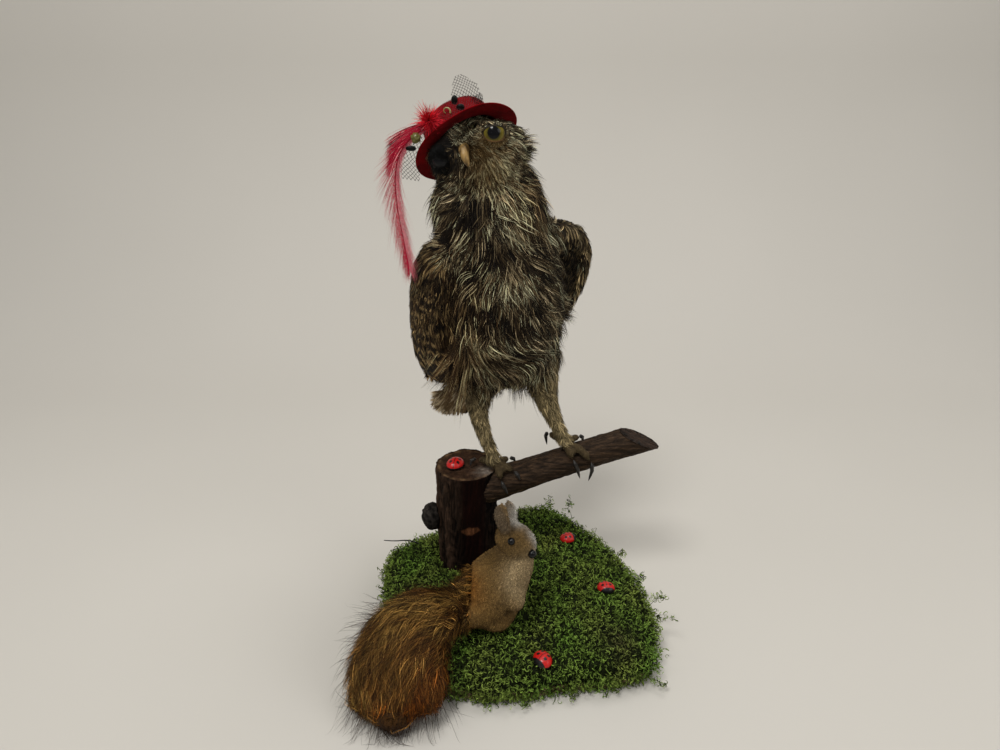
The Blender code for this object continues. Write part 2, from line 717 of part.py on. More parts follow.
def make_squirrel():
    body = tube("squirrel", SQUIRREL_BODY, "squirrel_felt", sides=12, rings=8, ends=(0.8, 0.6))
    join(body, tube("squirrel_head", SQUIRREL_HEAD, "squirrel_felt", side=(0, 1, 0), sides=10, rings=7))
    for k, line in enumerate(SQUIRREL_EARS):
        stations = [(*line[0], 4.5, 3), (*line[1], 5.5, 2.2), (*line[2], 3.2, 1.4)]
        across_ear = (0.9, -0.4, 0)
        join(body, tube(f"squirrel_ear_{k}", stations, "squirrel_felt", across_ear, sides=6, rings=5))
    for k, line in enumerate(SQUIRREL_LIMBS):
        join(body, tube(f"squirrel_limb_{k}", line, "squirrel_felt", side=(0, 1, 0), sides=8, rings=5))
    across_tail, ends = (0.9, -0.3, 0.1), (0.4, 0.5)
    join(body, tube("squirrel_tail", SQUIRREL_TAIL, "squirrel_felt", across_tail, sides=12, rings=9, ends=ends))
    ground = add_mesh("ground", *box_mesh(600, 600, 60), "board")
    ground.data.transform(Matrix.Translation(mm(0, 0, -29.5)))
    return cut(body, ground, moss_room("squirrel_moss_room"), log("squirrel_log_room", GAP))


# Each ladybird's place, heading and half-length: three on the moss and the last on the stump.
LADYBIRDS = ((32, 41, 200, 6.6), (54.5, -16, 165, 6.6), (6, -80, 300, 7.2), (-53, 23, 240, 7.4))


def make_ladybirds():
    """Four domes with flat undersides."""
    for k, (x, y, turn, half) in enumerate(LADYBIRDS):
        on_stump = k == len(LADYBIRDS) - 1
        floor = STUMP_TOP / MM + 0.3 if on_stump else MOSS_HEIGHT / MM * 1.04 - (3.5 if y < -70 else 0.5)
        place = Matrix.Translation(mm(x, y, floor)) @ Matrix.Rotation(math.radians(turn), 4, "Z")
        radii = (half, half * 0.85, half * 0.66)
        dome = ball(f"ladybird_{k + 1}", (0, 0, 1.6), radii, "ladybird", 12, 8, place)
        if on_stump:
            under = add_mesh("under_ladybird", *box_mesh(40, 40, 10), "board")
            under.data.transform(Matrix.Translation(STUMP_AXIS + mm(0, 0, STUMP_TOP / MM - 3.6)))
            cut(dome, under)
        else:
            cut(dome, moss_room(f"ladybird_moss_room_{k + 1}"))


def main():
    for old in list(bpy.data.objects):
        bpy.data.objects.remove(old)
    make_trunk()
    make_head()
    make_wing("wing_left", WING_LEFT, ARM_LEFT, 1)
    make_wing("wing_right", WING_RIGHT, ARM_RIGHT, -1)
    make_leg("leg_left", LEG_LEFT)
    make_leg("leg_right", LEG_RIGHT)
    make_foot("foot_left", FOOT_LEFT, LEG_LEFT)
    make_foot("foot_right", FOOT_RIGHT, LEG_RIGHT)
    make_tail()
    make_hat()
    make_trimmings()
    make_base()
    make_log()
    make_squirrel()
    make_ladybirds()


main()
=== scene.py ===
"""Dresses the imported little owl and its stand: feathers, felt, bark, moss and fur over the solids.

Metres, with +Z up. Tables of places are in mm. Colours are linear.
"""

import math

import bmesh
import bpy
import numpy as np
from mathutils import Matrix, Vector
from mathutils.bvhtree import BVHTree
from mathutils.kdtree import KDTree


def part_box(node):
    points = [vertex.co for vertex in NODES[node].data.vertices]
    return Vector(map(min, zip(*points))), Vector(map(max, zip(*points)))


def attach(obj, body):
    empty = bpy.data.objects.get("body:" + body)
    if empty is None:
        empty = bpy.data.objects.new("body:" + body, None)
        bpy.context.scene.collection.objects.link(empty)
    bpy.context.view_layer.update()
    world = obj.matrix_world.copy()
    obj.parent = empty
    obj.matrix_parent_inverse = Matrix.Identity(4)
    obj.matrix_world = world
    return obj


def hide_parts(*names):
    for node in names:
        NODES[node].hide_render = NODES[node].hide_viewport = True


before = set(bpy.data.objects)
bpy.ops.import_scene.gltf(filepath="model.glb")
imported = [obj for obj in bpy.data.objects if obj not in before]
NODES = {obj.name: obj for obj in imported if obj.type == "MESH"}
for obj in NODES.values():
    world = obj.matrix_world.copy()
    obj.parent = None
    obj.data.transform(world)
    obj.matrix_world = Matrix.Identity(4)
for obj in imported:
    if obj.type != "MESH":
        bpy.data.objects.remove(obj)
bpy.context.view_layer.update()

MM = 0.001


# ---- small helpers -------------------------------------------------------------------------------


def unit(v):
    """Vectors scaled to a length of 1."""
    return v / np.maximum(np.linalg.norm(v, axis=-1, keepdims=True), 1e-12)


def mm(*v):
    """A place given in mm, in metres."""
    return np.array(v, float) * MM


def frame_matrix(centre, turn=0, tip=0, raise_=0):
    """A frame turned about Z, then tipped about its own Y, then raised about its own X, in degrees."""
    spin = Matrix.Rotation(math.radians(turn), 4, "Z")
    roll = Matrix.Rotation(math.radians(tip), 4, "Y")
    pitch = Matrix.Rotation(math.radians(raise_), 4, "X")
    return Matrix.Translation(Vector(centre) * MM) @ spin @ roll @ pitch


# The owl's own frames and its hat's, as the solids have them.
BODY = frame_matrix((-18, 27, 200), 22, -5)
HEAD = frame_matrix((-32, 11, 327), -13, -27, -8)
HAT = frame_matrix((-41, 26, 329.5), 0, -34.9, -34.5)
BODY_IN = np.array(BODY.inverted())
HEAD_IN = np.array(HEAD.inverted())


def apply(matrix, points):
    """Points placed by a frame."""
    m = np.array(matrix)
    return points @ m[:3, :3].T + m[:3, 3]


def turned_only(matrix, vectors):
    """Directions turned by a frame, without its place."""
    return vectors @ np.array(matrix)[:3, :3].T


def noise3(points, size, seed):
    """Smooth noise from -1 to 1: a sum of waves in fixed random directions."""
    rng = np.random.default_rng(seed)
    total = np.zeros(len(points))
    for _ in range(7):
        way = rng.normal(size=3)
        way /= np.linalg.norm(way)
        total += np.sin(points @ way * (2 * math.pi / size) * rng.uniform(0.7, 1.5) + rng.uniform(0, 6.28))
    return total / 3.5


def link(obj):
    bpy.context.scene.collection.objects.link(obj)
    return obj


def blend(first, second, share):
    """From the first, at a share of 0, to the second, at 1."""
    return first * (1 - share) + second * share


def varied(rng, size, spread, many):
    """Sizes about one in mm, each times a chance factor."""
    return size * MM * np.exp(rng.normal(0, spread, many))


def finish_piece(obj, slot_name, *replaced):
    """Puts a piece in the scene on the root and hides the solids that it stands for. Its slot name is not
    used.
    """
    link(obj)
    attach(obj, "root")
    if replaced:
        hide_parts(*replaced)
    return obj


def finish_mesh(name, mesh, material, slot_name, *replaced):
    """Makes a smooth piece of a mesh."""
    mesh.shade_smooth()
    mesh.materials.clear()
    mesh.materials.append(material)
    finish_piece(bpy.data.objects.new(name, mesh), slot_name, *replaced)


def set_tint(mesh, colours):
    """Gives each point of a mesh the colour that its material reads."""
    full = np.ones((len(mesh.vertices), 4), np.float32)
    full[:, :3] = colours
    layer = mesh.color_attributes.new("tint", "FLOAT_COLOR", "POINT")
    layer.data.foreach_set("color", full.ravel())


def mesh_piece(name, points, triangles, material, tint=None, uv=None):
    """A mesh of triangles from arrays, with a colour at each point and a UV place for each corner."""
    mesh = bpy.data.meshes.new(name)
    mesh.vertices.add(len(points))
    mesh.vertices.foreach_set("co", np.asarray(points, np.float32).ravel())
    mesh.loops.add(len(triangles) * 3)
    mesh.loops.foreach_set("vertex_index", np.asarray(triangles, np.int32).ravel())
    mesh.polygons.add(len(triangles))
    mesh.polygons.foreach_set("loop_start", np.arange(0, len(triangles) * 3, 3, dtype=np.int32))
    mesh.polygons.foreach_set("use_smooth", np.ones(len(triangles), bool))
    mesh.update(calc_edges=True)
    if tint is not None:
        set_tint(mesh, tint)
    if uv is not None:
        layer = mesh.uv_layers.new(name="OFBake")
        layer.data.foreach_set("uv", np.asarray(uv, np.float32)[np.asarray(triangles).ravel()].ravel())
    mesh.materials.append(material)
    return bpy.data.objects.new(name, mesh)


# ---- materials -----------------------------------------------------------------------------------


class Shader:
    """A material with its Principled shader and short ways to add nodes to it."""

    def __init__(self, name, roughness=0.6, **values):
        self.material = bpy.data.materials.new(name)
        self.material.use_nodes = True
        self.nodes = self.material.node_tree.nodes
        self.links = self.material.node_tree.links
        self.surface = self.nodes["Principled BSDF"]
        self.surface.inputs["Roughness"].default_value = roughness
        for key, value in values.items():
            self.surface.inputs[key.replace("_", " ")].default_value = value

    def add(self, kind, **settings):
        node = self.nodes.new("ShaderNode" + kind)
        for key, value in settings.items():
            setattr(node, key, value)
        return node

    def link(self, out, into):
        self.links.new(out, into)

    def place(self):
        return self.add("TexCoord").outputs["Object"]

    def noise(self, scale, detail=4.0, roughness=0.6, stretch=None):
        node = self.add("TexNoise")
        node.inputs["Scale"].default_value = scale
        node.inputs["Detail"].default_value = detail
        node.inputs["Roughness"].default_value = roughness
        place = self.place()
        if stretch:
            mapping = self.add("Mapping")
            mapping.inputs["Scale"].default_value = stretch
            self.link(place, mapping.inputs["Vector"])
            place = mapping.outputs["Vector"]
        self.link(place, node.inputs["Vector"])
        return node.outputs["Fac"]

    def ramp(self, value, *stops):
        node = self.add("ValToRGB")
        ramp = node.color_ramp
        while len(ramp.elements) < len(stops):
            ramp.elements.new(0.5)
        for element, (position, colour) in zip(ramp.elements, stops):
            element.position = position
            element.color = (*colour, 1)
        self.link(value, node.inputs["Fac"])
        return node.outputs["Color"]

    def greys(self, value, *stops):
        return self.ramp(value, *((position, (tone,) * 3) for position, tone in stops))

    def feed(self, node, *pairs):
        """Sets each numbered input of a node to a value or links it to a socket."""
        for number, value in pairs:
            socket = node.inputs[number]
            if isinstance(value, (int, float)):
                socket.default_value = value
            elif isinstance(value, tuple):
                socket.default_value = (*value, 1)
            else:
                self.link(value, socket)

    def mix(self, factor, a, b, way="MIX"):
        node = self.add("Mix", data_type="RGBA", blend_type=way)
        self.feed(node, (0, factor), (6, a), (7, b))
        return node.outputs[2]

    def maths(self, operation, a, b=0.0):
        node = self.add("Math", operation=operation)
        self.feed(node, (0, a), (1, b))
        return node.outputs[0]

    def colour(self, value):
        self.link(value, self.surface.inputs["Base Color"])

    def colour_from_mesh(self, *shades):
        """The mesh's own tint, darkened and lightened by each shade in turn."""
        tone = self.add("Attribute", attribute_name="tint").outputs["Color"]
        for shade in shades:
            tone = self.mix(1.0, tone, shade, "MULTIPLY")
        self.colour(tone)

    def mottle(self, scale, dark, light, detail=3):
        """The mesh's own tint, broken up by fine noise."""
        self.colour_from_mesh(self.greys(self.noise(scale, detail), (0.3, dark), (0.7, light)))

    def bump(self, height, strength, distance):
        node = self.add("Bump")
        node.inputs["Strength"].default_value = strength
        node.inputs["Distance"].default_value = distance
        self.link(height, node.inputs["Height"])
        self.link(node.outputs["Normal"], self.surface.inputs["Normal"])


def mottled_material(name, roughness, specular, *mottle):
    """Colours from the mesh, which fine noise breaks up."""
    made = Shader(name, roughness, Specular_IOR_Level=specular)
    made.mottle(*mottle)
    return made.material


def felt_material():
    made = Shader("red_felt", 0.9, Specular_IOR_Level=0.04, Sheen_Weight=0.03, Sheen_Roughness=0.4)
    made.surface.inputs["Sheen Tint"].default_value = (1, 0.55, 0.5, 1)
    cloud = made.ramp(made.noise(160, 4), (0.3, (0.115, 0.0016, 0.003)), (0.7, (0.27, 0.003, 0.006)))
    fibre = made.greys(made.noise(2600, 2), (0.35, 0.7), (0.75, 1.25))
    made.colour(made.mix(1.0, cloud, fibre, "MULTIPLY"))
    made.bump(made.noise(1900, 4), 0.45, 0.0006)
    return made.material


# Bark up the stump and along the branch: roughness, specular level, the noises of its ridges and of its
# grain, the ridges' tones, and how deep they are.
BARKS = {
    "bark": (
        0.8, 0.06, (55, 6, 0.7, (6, 6, 0.9)), (300, 4, 0.65, (3, 3, 0.6)),
        ((0.30, 0.35), (0.55, 1.0), (0.78, 1.7)), 0.0016,
    ),
    "branch_bark": (
        0.6, 0.12, (80, 6, 0.75, (0.45, 6, 6)), (320, 4, 0.65, (0.4, 3, 3)),
        ((0.36, 0.22), (0.52, 0.85), (0.68, 2.0)), 0.0014,
    ),
}


def bark_material(name):
    """Dark, finely ridged bark whose furrows run along the log, with tint from the mesh."""
    roughness, specular, coarse, close, tones_of_ridges, depth = BARKS[name]
    made = Shader(name, roughness, Specular_IOR_Level=specular)
    ridges, grain = made.noise(*coarse), made.noise(*close)
    made.colour_from_mesh(made.greys(ridges, *tones_of_ridges), made.greys(grain, (0.35, 0.75), (0.75, 1.3)))
    made.bump(made.maths("ADD", ridges, made.maths("MULTIPLY", grain, 0.4)), 0.8, depth)
    return made.material


def board_material():
    made = Shader("board", 0.7)
    grain = made.noise(40, 6, 0.7, (1, 12, 12))
    made.colour(made.ramp(grain, (0.3, (0.20, 0.12, 0.06)), (0.7, (0.38, 0.26, 0.15))))
    made.bump(grain, 0.3, 0.0006)
    return made.material


def horn_material(name, dark, light, size):
    made = Shader(name, 0.42, Specular_IOR_Level=0.35)
    made.colour(made.ramp(made.noise(size, 5, 0.6, (1, 1, 0.4)), (0.38, dark), (0.62, light)))
    made.bump(made.noise(size * 4, 4, 0.6, (1, 1, 0.3)), 0.35, 0.0004)
    return made.material


def eye_material(name, pupil, iris_radius):
    """A glass eye round its own Z axis: black pupil, streaked iris and dark rim, under a clear coat."""
    made = Shader(name, 0.10, Specular_IOR_Level=0.12, Coat_Weight=0.12, Coat_Roughness=0.02)
    parts = made.add("SeparateXYZ")
    made.link(made.place(), parts.inputs[0])
    x, y, z = parts.outputs
    square = made.maths("ADD", made.maths("MULTIPLY", x, x), made.maths("MULTIPLY", y, y))
    radius = made.maths("SQRT", square)
    share = made.maths("DIVIDE", radius, iris_radius)
    edge = pupil / iris_radius
    streaks = made.noise(1400, 3, 0.7, (1, 1, 0.1))
    ring = made.ramp(
        share,
        (0.0, (0.003, 0.003, 0.004)),
        (edge - 0.02, (0.003, 0.003, 0.004)),
        (edge + 0.02, (0.060, 0.050, 0.006)),
        (0.80, (0.17, 0.130, 0.018)),
        (0.93, (0.11, 0.080, 0.013)),
        (1.0, (0.02, 0.016, 0.01)),
    )
    front = made.mix(1.0, ring, made.greys(streaks, (0.3, 0.75), (0.7, 1.2)), "MULTIPLY")
    behind = made.maths("LESS_THAN", z, 0.0)
    made.colour(made.mix(behind, front, (0.01, 0.008, 0.006)))
    return made.material


def gloss_material(name, colour, roughness=0.15, coat=0.6, specular=0.5):
    made = Shader(name, roughness, Coat_Weight=coat, Coat_Roughness=0.05, Specular_IOR_Level=specular)
    made.colour(made.ramp(made.noise(500, 3), (0.3, tuple(c * 0.8 for c in colour)), (0.7, colour)))
    return made.material


def stage_material():
    made = Shader("stage", 0.9, Specular_IOR_Level=0.1)
    made.colour(made.ramp(made.noise(2, 2), (0.3, (0.568, 0.545, 0.502)), (0.7, (0.592, 0.568, 0.525))))
    return made.material


# ---- the stage, camera and light -----------------------------------------------------------------


def make_stage():
    """A pale floor that curves up into a wall behind the display."""
    start, radius, wall, half = 0.34, 0.35, 1.6, 2.2
    profile = [(-1.6, 0.0), (start, 0.0)]
    steps = 14
    for k in range(1, steps + 1):
        angle = math.pi / 2 * k / steps
        profile.append((start + radius * math.sin(angle), radius * (1 - math.cos(angle))))
    profile.append((start + radius, wall))
    points = [(x, y, z) for y, z in profile for x in (-half, half)]
    faces = [(2 * k, 2 * k + 1, 2 * k + 3, 2 * k + 2) for k in range(len(profile) - 1)]
    mesh = bpy.data.meshes.new("stage_floor")
    mesh.from_pydata(points, [], faces)
    mesh.shade_smooth()
    mesh.materials.append(stage_material())
    link(bpy.data.objects.new("stage_floor", mesh))


def area_light(name, place, target, size, watts, colour):
    data = bpy.data.lights.new(name, "AREA")
    data.shape = "DISK"
    data.size = size
    data.energy = watts
    data.color = colour
    lamp = link(bpy.data.objects.new(name, data))
    lamp.location = place
    lamp.rotation_euler = (Vector(target) - Vector(place)).to_track_quat("-Z", "Y").to_euler()


SENSOR_WIDTH = 36


def make_camera_and_light():
    data = bpy.data.cameras.new("camera")
    data.sensor_width = SENSOR_WIDTH
    data.lens = SENSOR_WIDTH * 0.751
    data.clip_start = 0.01
    camera = link(bpy.data.objects.new("camera", data))
    camera.location = (-0.021, -0.437, 0.393)
    camera.rotation_euler = (math.radians(65), 0, 0)
    bpy.context.scene.camera = camera
    bpy.context.scene.view_settings.view_transform = "Standard"
    world = bpy.data.worlds.new("soft_room")
    world.use_nodes = True
    sky = world.node_tree.nodes["Background"]
    sky.inputs["Color"].default_value = (1.0, 0.99, 0.97, 1)
    sky.inputs["Strength"].default_value = 0.30
    bpy.context.scene.world = world
    area_light("key", (-0.35, -0.55, 1.35), (-0.02, 0, 0.15), 0.45, 11.5, (1.0, 0.985, 0.95))
    area_light("fill", (0.9, -0.5, 0.8), (0, 0, 0.15), 0.7, 2.6, (1.0, 0.99, 0.97))
    area_light("back", (0.3, 0.25, 1.4), (0, 0, 0.1), 0.7, 4.6, (1.0, 0.985, 0.96))


# ---- skins: smooth meshes grown from the solids --------------------------------------------------


def node_shell(name, grow):
    """A solid's own mesh with its corners joined, moved out along its normals."""
    work = bmesh.new()
    work.from_mesh(NODES[name].data)
    bmesh.ops.remove_doubles(work, verts=work.verts, dist=1e-6)
    work.normal_update()
    points = np.array([v.co for v in work.verts]) + grow * np.array([v.normal for v in work.verts])
    faces = [[v.index for v in f.verts] for f in work.faces]
    work.free()
    return points, faces


def remeshed(name, shells, voxel):
    """One closed mesh round several overlapping shells."""
    mesh = bpy.data.meshes.new(name)
    points, faces = [], []
    for shell_points, shell_faces in shells:
        start = len(points)
        points += [tuple(p) for p in shell_points]
        faces += [[i + start for i in f] for f in shell_faces]
    mesh.from_pydata(points, [], faces)
    obj = link(bpy.data.objects.new(name, mesh))
    step = obj.modifiers.new("remesh", "REMESH")
    step.mode = "VOXEL"
    step.voxel_size = voxel
    done = bpy.data.meshes.new_from_object(obj.evaluated_get(bpy.context.evaluated_depsgraph_get()))
    bpy.data.objects.remove(obj)
    return done


class Skin:
    """A mesh as arrays: its points, its edges, and how many neighbours each point has."""

    def __init__(self, mesh):
        self.mesh = mesh
        flat = np.zeros(len(mesh.vertices) * 3)
        mesh.vertices.foreach_get("co", flat)
        self.points = flat.reshape(-1, 3)
        edges = np.zeros(len(mesh.edges) * 2, np.int64)
        mesh.edges.foreach_get("vertices", edges)
        self.edges = edges.reshape(-1, 2)
        self.count = np.bincount(self.edges.ravel(), minlength=len(self.points))

    def spread(self, values):
        """Each point's mean over its neighbours."""
        a, b = self.edges.T
        total = np.zeros_like(values)
        many = len(values)
        for k in range(values.shape[1]):
            total[:, k] = np.bincount(a, values[b, k], many) + np.bincount(b, values[a, k], many)
        return total / np.maximum(self.count, 1)[:, None]

    def relax(self, share, times):
        """Moves each point a share of the way to its neighbours' mean, several times over."""
        share = np.broadcast_to(share, len(self.points))[:, None]
        for _ in range(times):
            self.points += (self.spread(self.points) - self.points) * share

    def write(self):
        self.mesh.vertices.foreach_set("co", self.points.astype(np.float32).ravel())
        self.mesh.update()

    def normals(self):
        self.write()
        flat = np.zeros(len(self.points) * 3)
        self.mesh.vertices.foreach_get("normal", flat)
        return flat.reshape(-1, 3)

    def triangles(self):
        self.mesh.calc_loop_triangles()
        flat = np.zeros(len(self.mesh.loop_triangles) * 3, np.int64)
        self.mesh.loop_triangles.foreach_get("vertices", flat)
        return flat.reshape(-1, 3)

    def surface(self, chosen=slice(None)):
        """Where the coat grows, once way_out, lie and depth are known."""
        return Surface(self.points[chosen], self.way_out[chosen], self.lie[chosen], self.depth[chosen])


def nearest_nodes(points, names):
    """For each point, which of the named solids is nearest, and the tree that finds it."""
    verts, faces, owner = [], [], []
    for k, name in enumerate(names):
        shell_points, shell_faces = node_shell(name, 0.0)
        start = len(verts)
        verts += [Vector(p) for p in shell_points]
        faces += [[i + start for i in f] for f in shell_faces]
        owner += [k] * len(shell_faces)
    tree = BVHTree.FromPolygons(verts, faces)
    owner = np.array(owner)
    return owner[[tree.find_nearest(Vector(p))[2] for p in points]], tree


# ---- tufts ---------------------------------------------------------------------------------------


class Surface:
    """Where a coat grows: points, normals, the way it lies and its depth, found from any place near."""

    def __init__(self, points, normals, lie, depth):
        self.points, self.normals, self.lie, self.depth = points, normals, lie, depth
        self.tree = KDTree(len(points))
        for k, p in enumerate(points):
            self.tree.insert(p, k)
        self.tree.balance()

    def at(self, places):
        """The places moved onto the surface, with its normal, lie and depth there."""
        index = np.array([self.tree.find(p)[1] for p in places])
        normal = self.normals[index]
        gap = np.einsum("ij,ij->i", places - self.points[index], normal)
        return places - normal * gap[:, None], normal, self.lie[index], self.depth[index]


def scatter(points, triangles, chosen, spacing, rng):
    """Evenly spread places on the chosen triangles: many at random, of which each cell keeps one."""
    faces = triangles[chosen]
    a, b, c = points[faces[:, 0]], points[faces[:, 1]], points[faces[:, 2]]
    area = np.linalg.norm(np.cross(b - a, c - a), axis=1) / 2
    wanted = int(area.sum() / spacing**2 * 3)
    pick = rng.choice(len(faces), wanted, p=area / area.sum())
    u, v = rng.random((2, wanted))
    over = u + v > 1
    u[over], v[over] = 1 - u[over], 1 - v[over]
    places = a[pick] + (b - a)[pick] * u[:, None] + (c - a)[pick] * v[:, None]
    cells = np.floor(places / (spacing * 0.93)).astype(np.int64)
    key = (cells[:, 0] * 73856093) ^ (cells[:, 1] * 19349663) ^ (cells[:, 2] * 83492791)
    _, first = np.unique(key, return_index=True)
    return places[first]


def guides(surface, roots, lengths, steps, rise, stray, rng):
    """Each tuft's line over the skin, rising from its root to its tip: places and normals at each step."""
    count = len(roots)
    line = np.zeros((count, steps + 1, 3))
    normal = np.zeros((count, steps + 1, 3))
    here, n, way, depth = surface.at(roots)
    swing = rng.normal(0, stray, count)
    across = np.cross(way, n)
    way = unit(way + across * swing[:, None])
    line[:, 0], normal[:, 0] = here, n
    height = depth * (0.55 + 0.6 * rng.random(count)) * rise
    base = height * 0.15
    for k in range(1, steps + 1):
        ahead = here + way * (lengths / steps)[:, None]
        here, n, lie, _ = surface.at(ahead)
        lie = unit(lie + np.cross(lie, n) * swing[:, None])
        way = unit(way * 0.5 + lie * 0.5)
        way = unit(way - n * np.einsum("ij,ij->i", way, n)[:, None])
        share = k / steps
        lift = base + (height - base) * share**0.8
        line[:, k], normal[:, k] = here + n * lift[:, None], unit(normal[:, k - 1] + n)
    return line, normal


def along(values, shares):
    """Values given at even steps, read at each share from 0 to 1 with straight lines between."""
    steps = values.shape[1] - 1
    place = np.clip(shares * steps, 0, steps - 1e-6)
    low = place.astype(int)
    part = (place - low)[..., None]
    rows = np.arange(len(values))[:, None, None]
    return values[rows, low] * (1 - part) + values[rows, low + 1] * part


def tapered(centre, edge):
    """Strips from their middle lines (tuft, barb, step, 3): two corners at each step, one at the last."""
    count, barbs, steps = centre.shape[:3]
    pairs = np.stack([centre - edge, centre + edge], axis=3)[:, :, :-1]
    pairs = pairs.reshape(count, barbs, 2 * steps - 2, 3)
    return np.concatenate([pairs, centre[:, :, -1:]], axis=2)


def vanes(line, normal, widths, barbs, segments, rng, splay=1.0, fray=0.14, fill=1.1, tip=0.5):
    """Tapered strips side by side along each guide: points (tuft, barb, corner, 3), shares and sides."""
    count = len(line)
    side = np.linspace(-1, 1, barbs)[None, :] + rng.normal(0, 0.5 / barbs, (count, barbs))
    reach = 1 - 0.22 * np.abs(side) ** 1.5 + rng.normal(0, fray, (count, barbs))
    reach = np.clip(reach, 0.35, 1.0)
    even = np.linspace(0, 1, segments + 1)
    shares = reach[:, :, None] * even[None, None, :]
    centre = along(line, shares)
    up = unit(along(normal, shares))
    ahead = unit(along(line, np.minimum(shares + 0.12, 1.0)) - along(line, np.maximum(shares - 0.12, 0.0)))
    across = unit(np.cross(ahead, up))
    wide = widths[:, None, None]
    spread = (0.25 + 0.75 * np.minimum(even * 2.2, 1)) * (1 - 0.3 * even**2)
    drift = rng.normal(0, 0.25 * splay, (count, barbs))[:, :, None] * even**1.6
    sideways = wide * (side[:, :, None] * spread * splay + drift)
    arch = wide * 0.3 * (1 - side[:, :, None] ** 2)
    bow = arch + wide * rng.normal(0, 0.12, (count, barbs))[:, :, None] * even
    centre = centre + across * sideways[..., None] + up * bow[..., None]
    half = wide * fill / barbs * np.maximum(1 - even, 0) ** tip
    half = np.broadcast_to(half, shares.shape)
    roll = rng.normal(0, 0.35, (count, barbs))[:, :, None, None]
    edge = unit(across + up * roll) * half[..., None]
    return tapered(centre, edge), even, side


def strip_triangles(strips, segments):
    """The triangles of that many strips, each of 2 * segments + 1 corners."""
    one = []
    for k in range(segments - 1):
        one += [(2 * k, 2 * k + 1, 2 * k + 3), (2 * k, 2 * k + 3, 2 * k + 2)]
    one.append((2 * segments - 2, 2 * segments - 1, 2 * segments))
    starts = np.arange(strips) * (2 * segments + 1)
    return (np.array(one)[None] + starts[:, None, None]).reshape(-1, 3)


def per_corner(values, segments):
    """Values for each step of a strip, repeated for its two corners and once for its tip."""
    pairs = np.repeat(values[..., :segments, :], 2, axis=-2)
    return np.concatenate([pairs, values[..., segments:, :]], axis=-2)


def patches(places, barbs, segments, size=0.003):
    """UV places: each tuft a small square at its root's place, with a column for each barb."""
    columns = (np.arange(barbs) + 0.5) / barbs - 0.5
    steps = np.linspace(0, 1, segments + 1) - 0.5
    half = 0.3 / barbs
    u = np.stack([columns - half, columns + half], -1)[:, None, :].repeat(segments, 1).reshape(barbs, -1)
    u = np.concatenate([u, columns[:, None]], 1)
    v = np.concatenate([np.repeat(steps[:segments], 2), steps[segments:]])[None].repeat(barbs, 0)
    return places[:, None, None, :] + np.stack([u, v], -1)[None] * size


def coat_piece(name, points, colours, uv, segments, material):
    """A piece of many strips, from (tuft, barb, corner) arrays."""
    count, barbs = points.shape[:2]
    triangles = strip_triangles(count * barbs, segments)
    colours, uv = colours.reshape(-1, 3), uv.reshape(-1, 2)
    return mesh_piece(name, points.reshape(-1, 3), triangles, material, colours, uv)


def round_unwrap(places, low, high):
    """Places on an upright form laid out by the angle round it and the height up it."""
    middle = (low + high) / 2
    angle = np.arctan2(places[:, 1] - middle[1], places[:, 0] - middle[0]) / (2 * math.pi) + 0.5
    height = (places[:, 2] - low[2]) / (high[2] - low[2])
    return 0.01 + 0.98 * np.stack([angle, height], -1)


def unwrap_of(points):
    """The round unwrap of the form that has these points."""
    low, high = points.min(0), points.max(0)
    return lambda places: round_unwrap(places, low, high)


# ---- the owl: its markings and the way its coat lies ---------------------------------------------

FLESH = (
    "trunk", "neck", "head", "wing_left", "wing_right", "tail",
    "leg_left", "leg_right", "foot_left", "foot_right",
)
# How far the coat stands over the skin in each region, in mm, and how much the skin is smoothed.
COAT_DEPTH = (4.4, 4.2, 2.8, 1.4, 1.4, 1.0, 1.5, 1.5, 0.1, 0.1)
SMOOTHING = (0.6, 0.6, 0.5, 0.35, 0.35, 0.35, 0.35, 0.35, 0.12, 0.12)
# The eyes and the bill's root, in the head's own frame.
EYES = {"left": (16.5, -19.5, 3), "right": (-16.5, -19.5, 3)}
EYE_RADIUS = 6.5
BILL_ROOT = (-0.7, -21, 3)

DARK = np.array((0.0055, 0.0038, 0.0024))
UMBER = np.array((0.046, 0.026, 0.010))
BUFF = np.array((0.29, 0.195, 0.085))
CREAM = np.array((0.62, 0.51, 0.315))
OCHRE = np.array((0.24, 0.135, 0.035))
KHAKI = np.array((0.42, 0.325, 0.165))

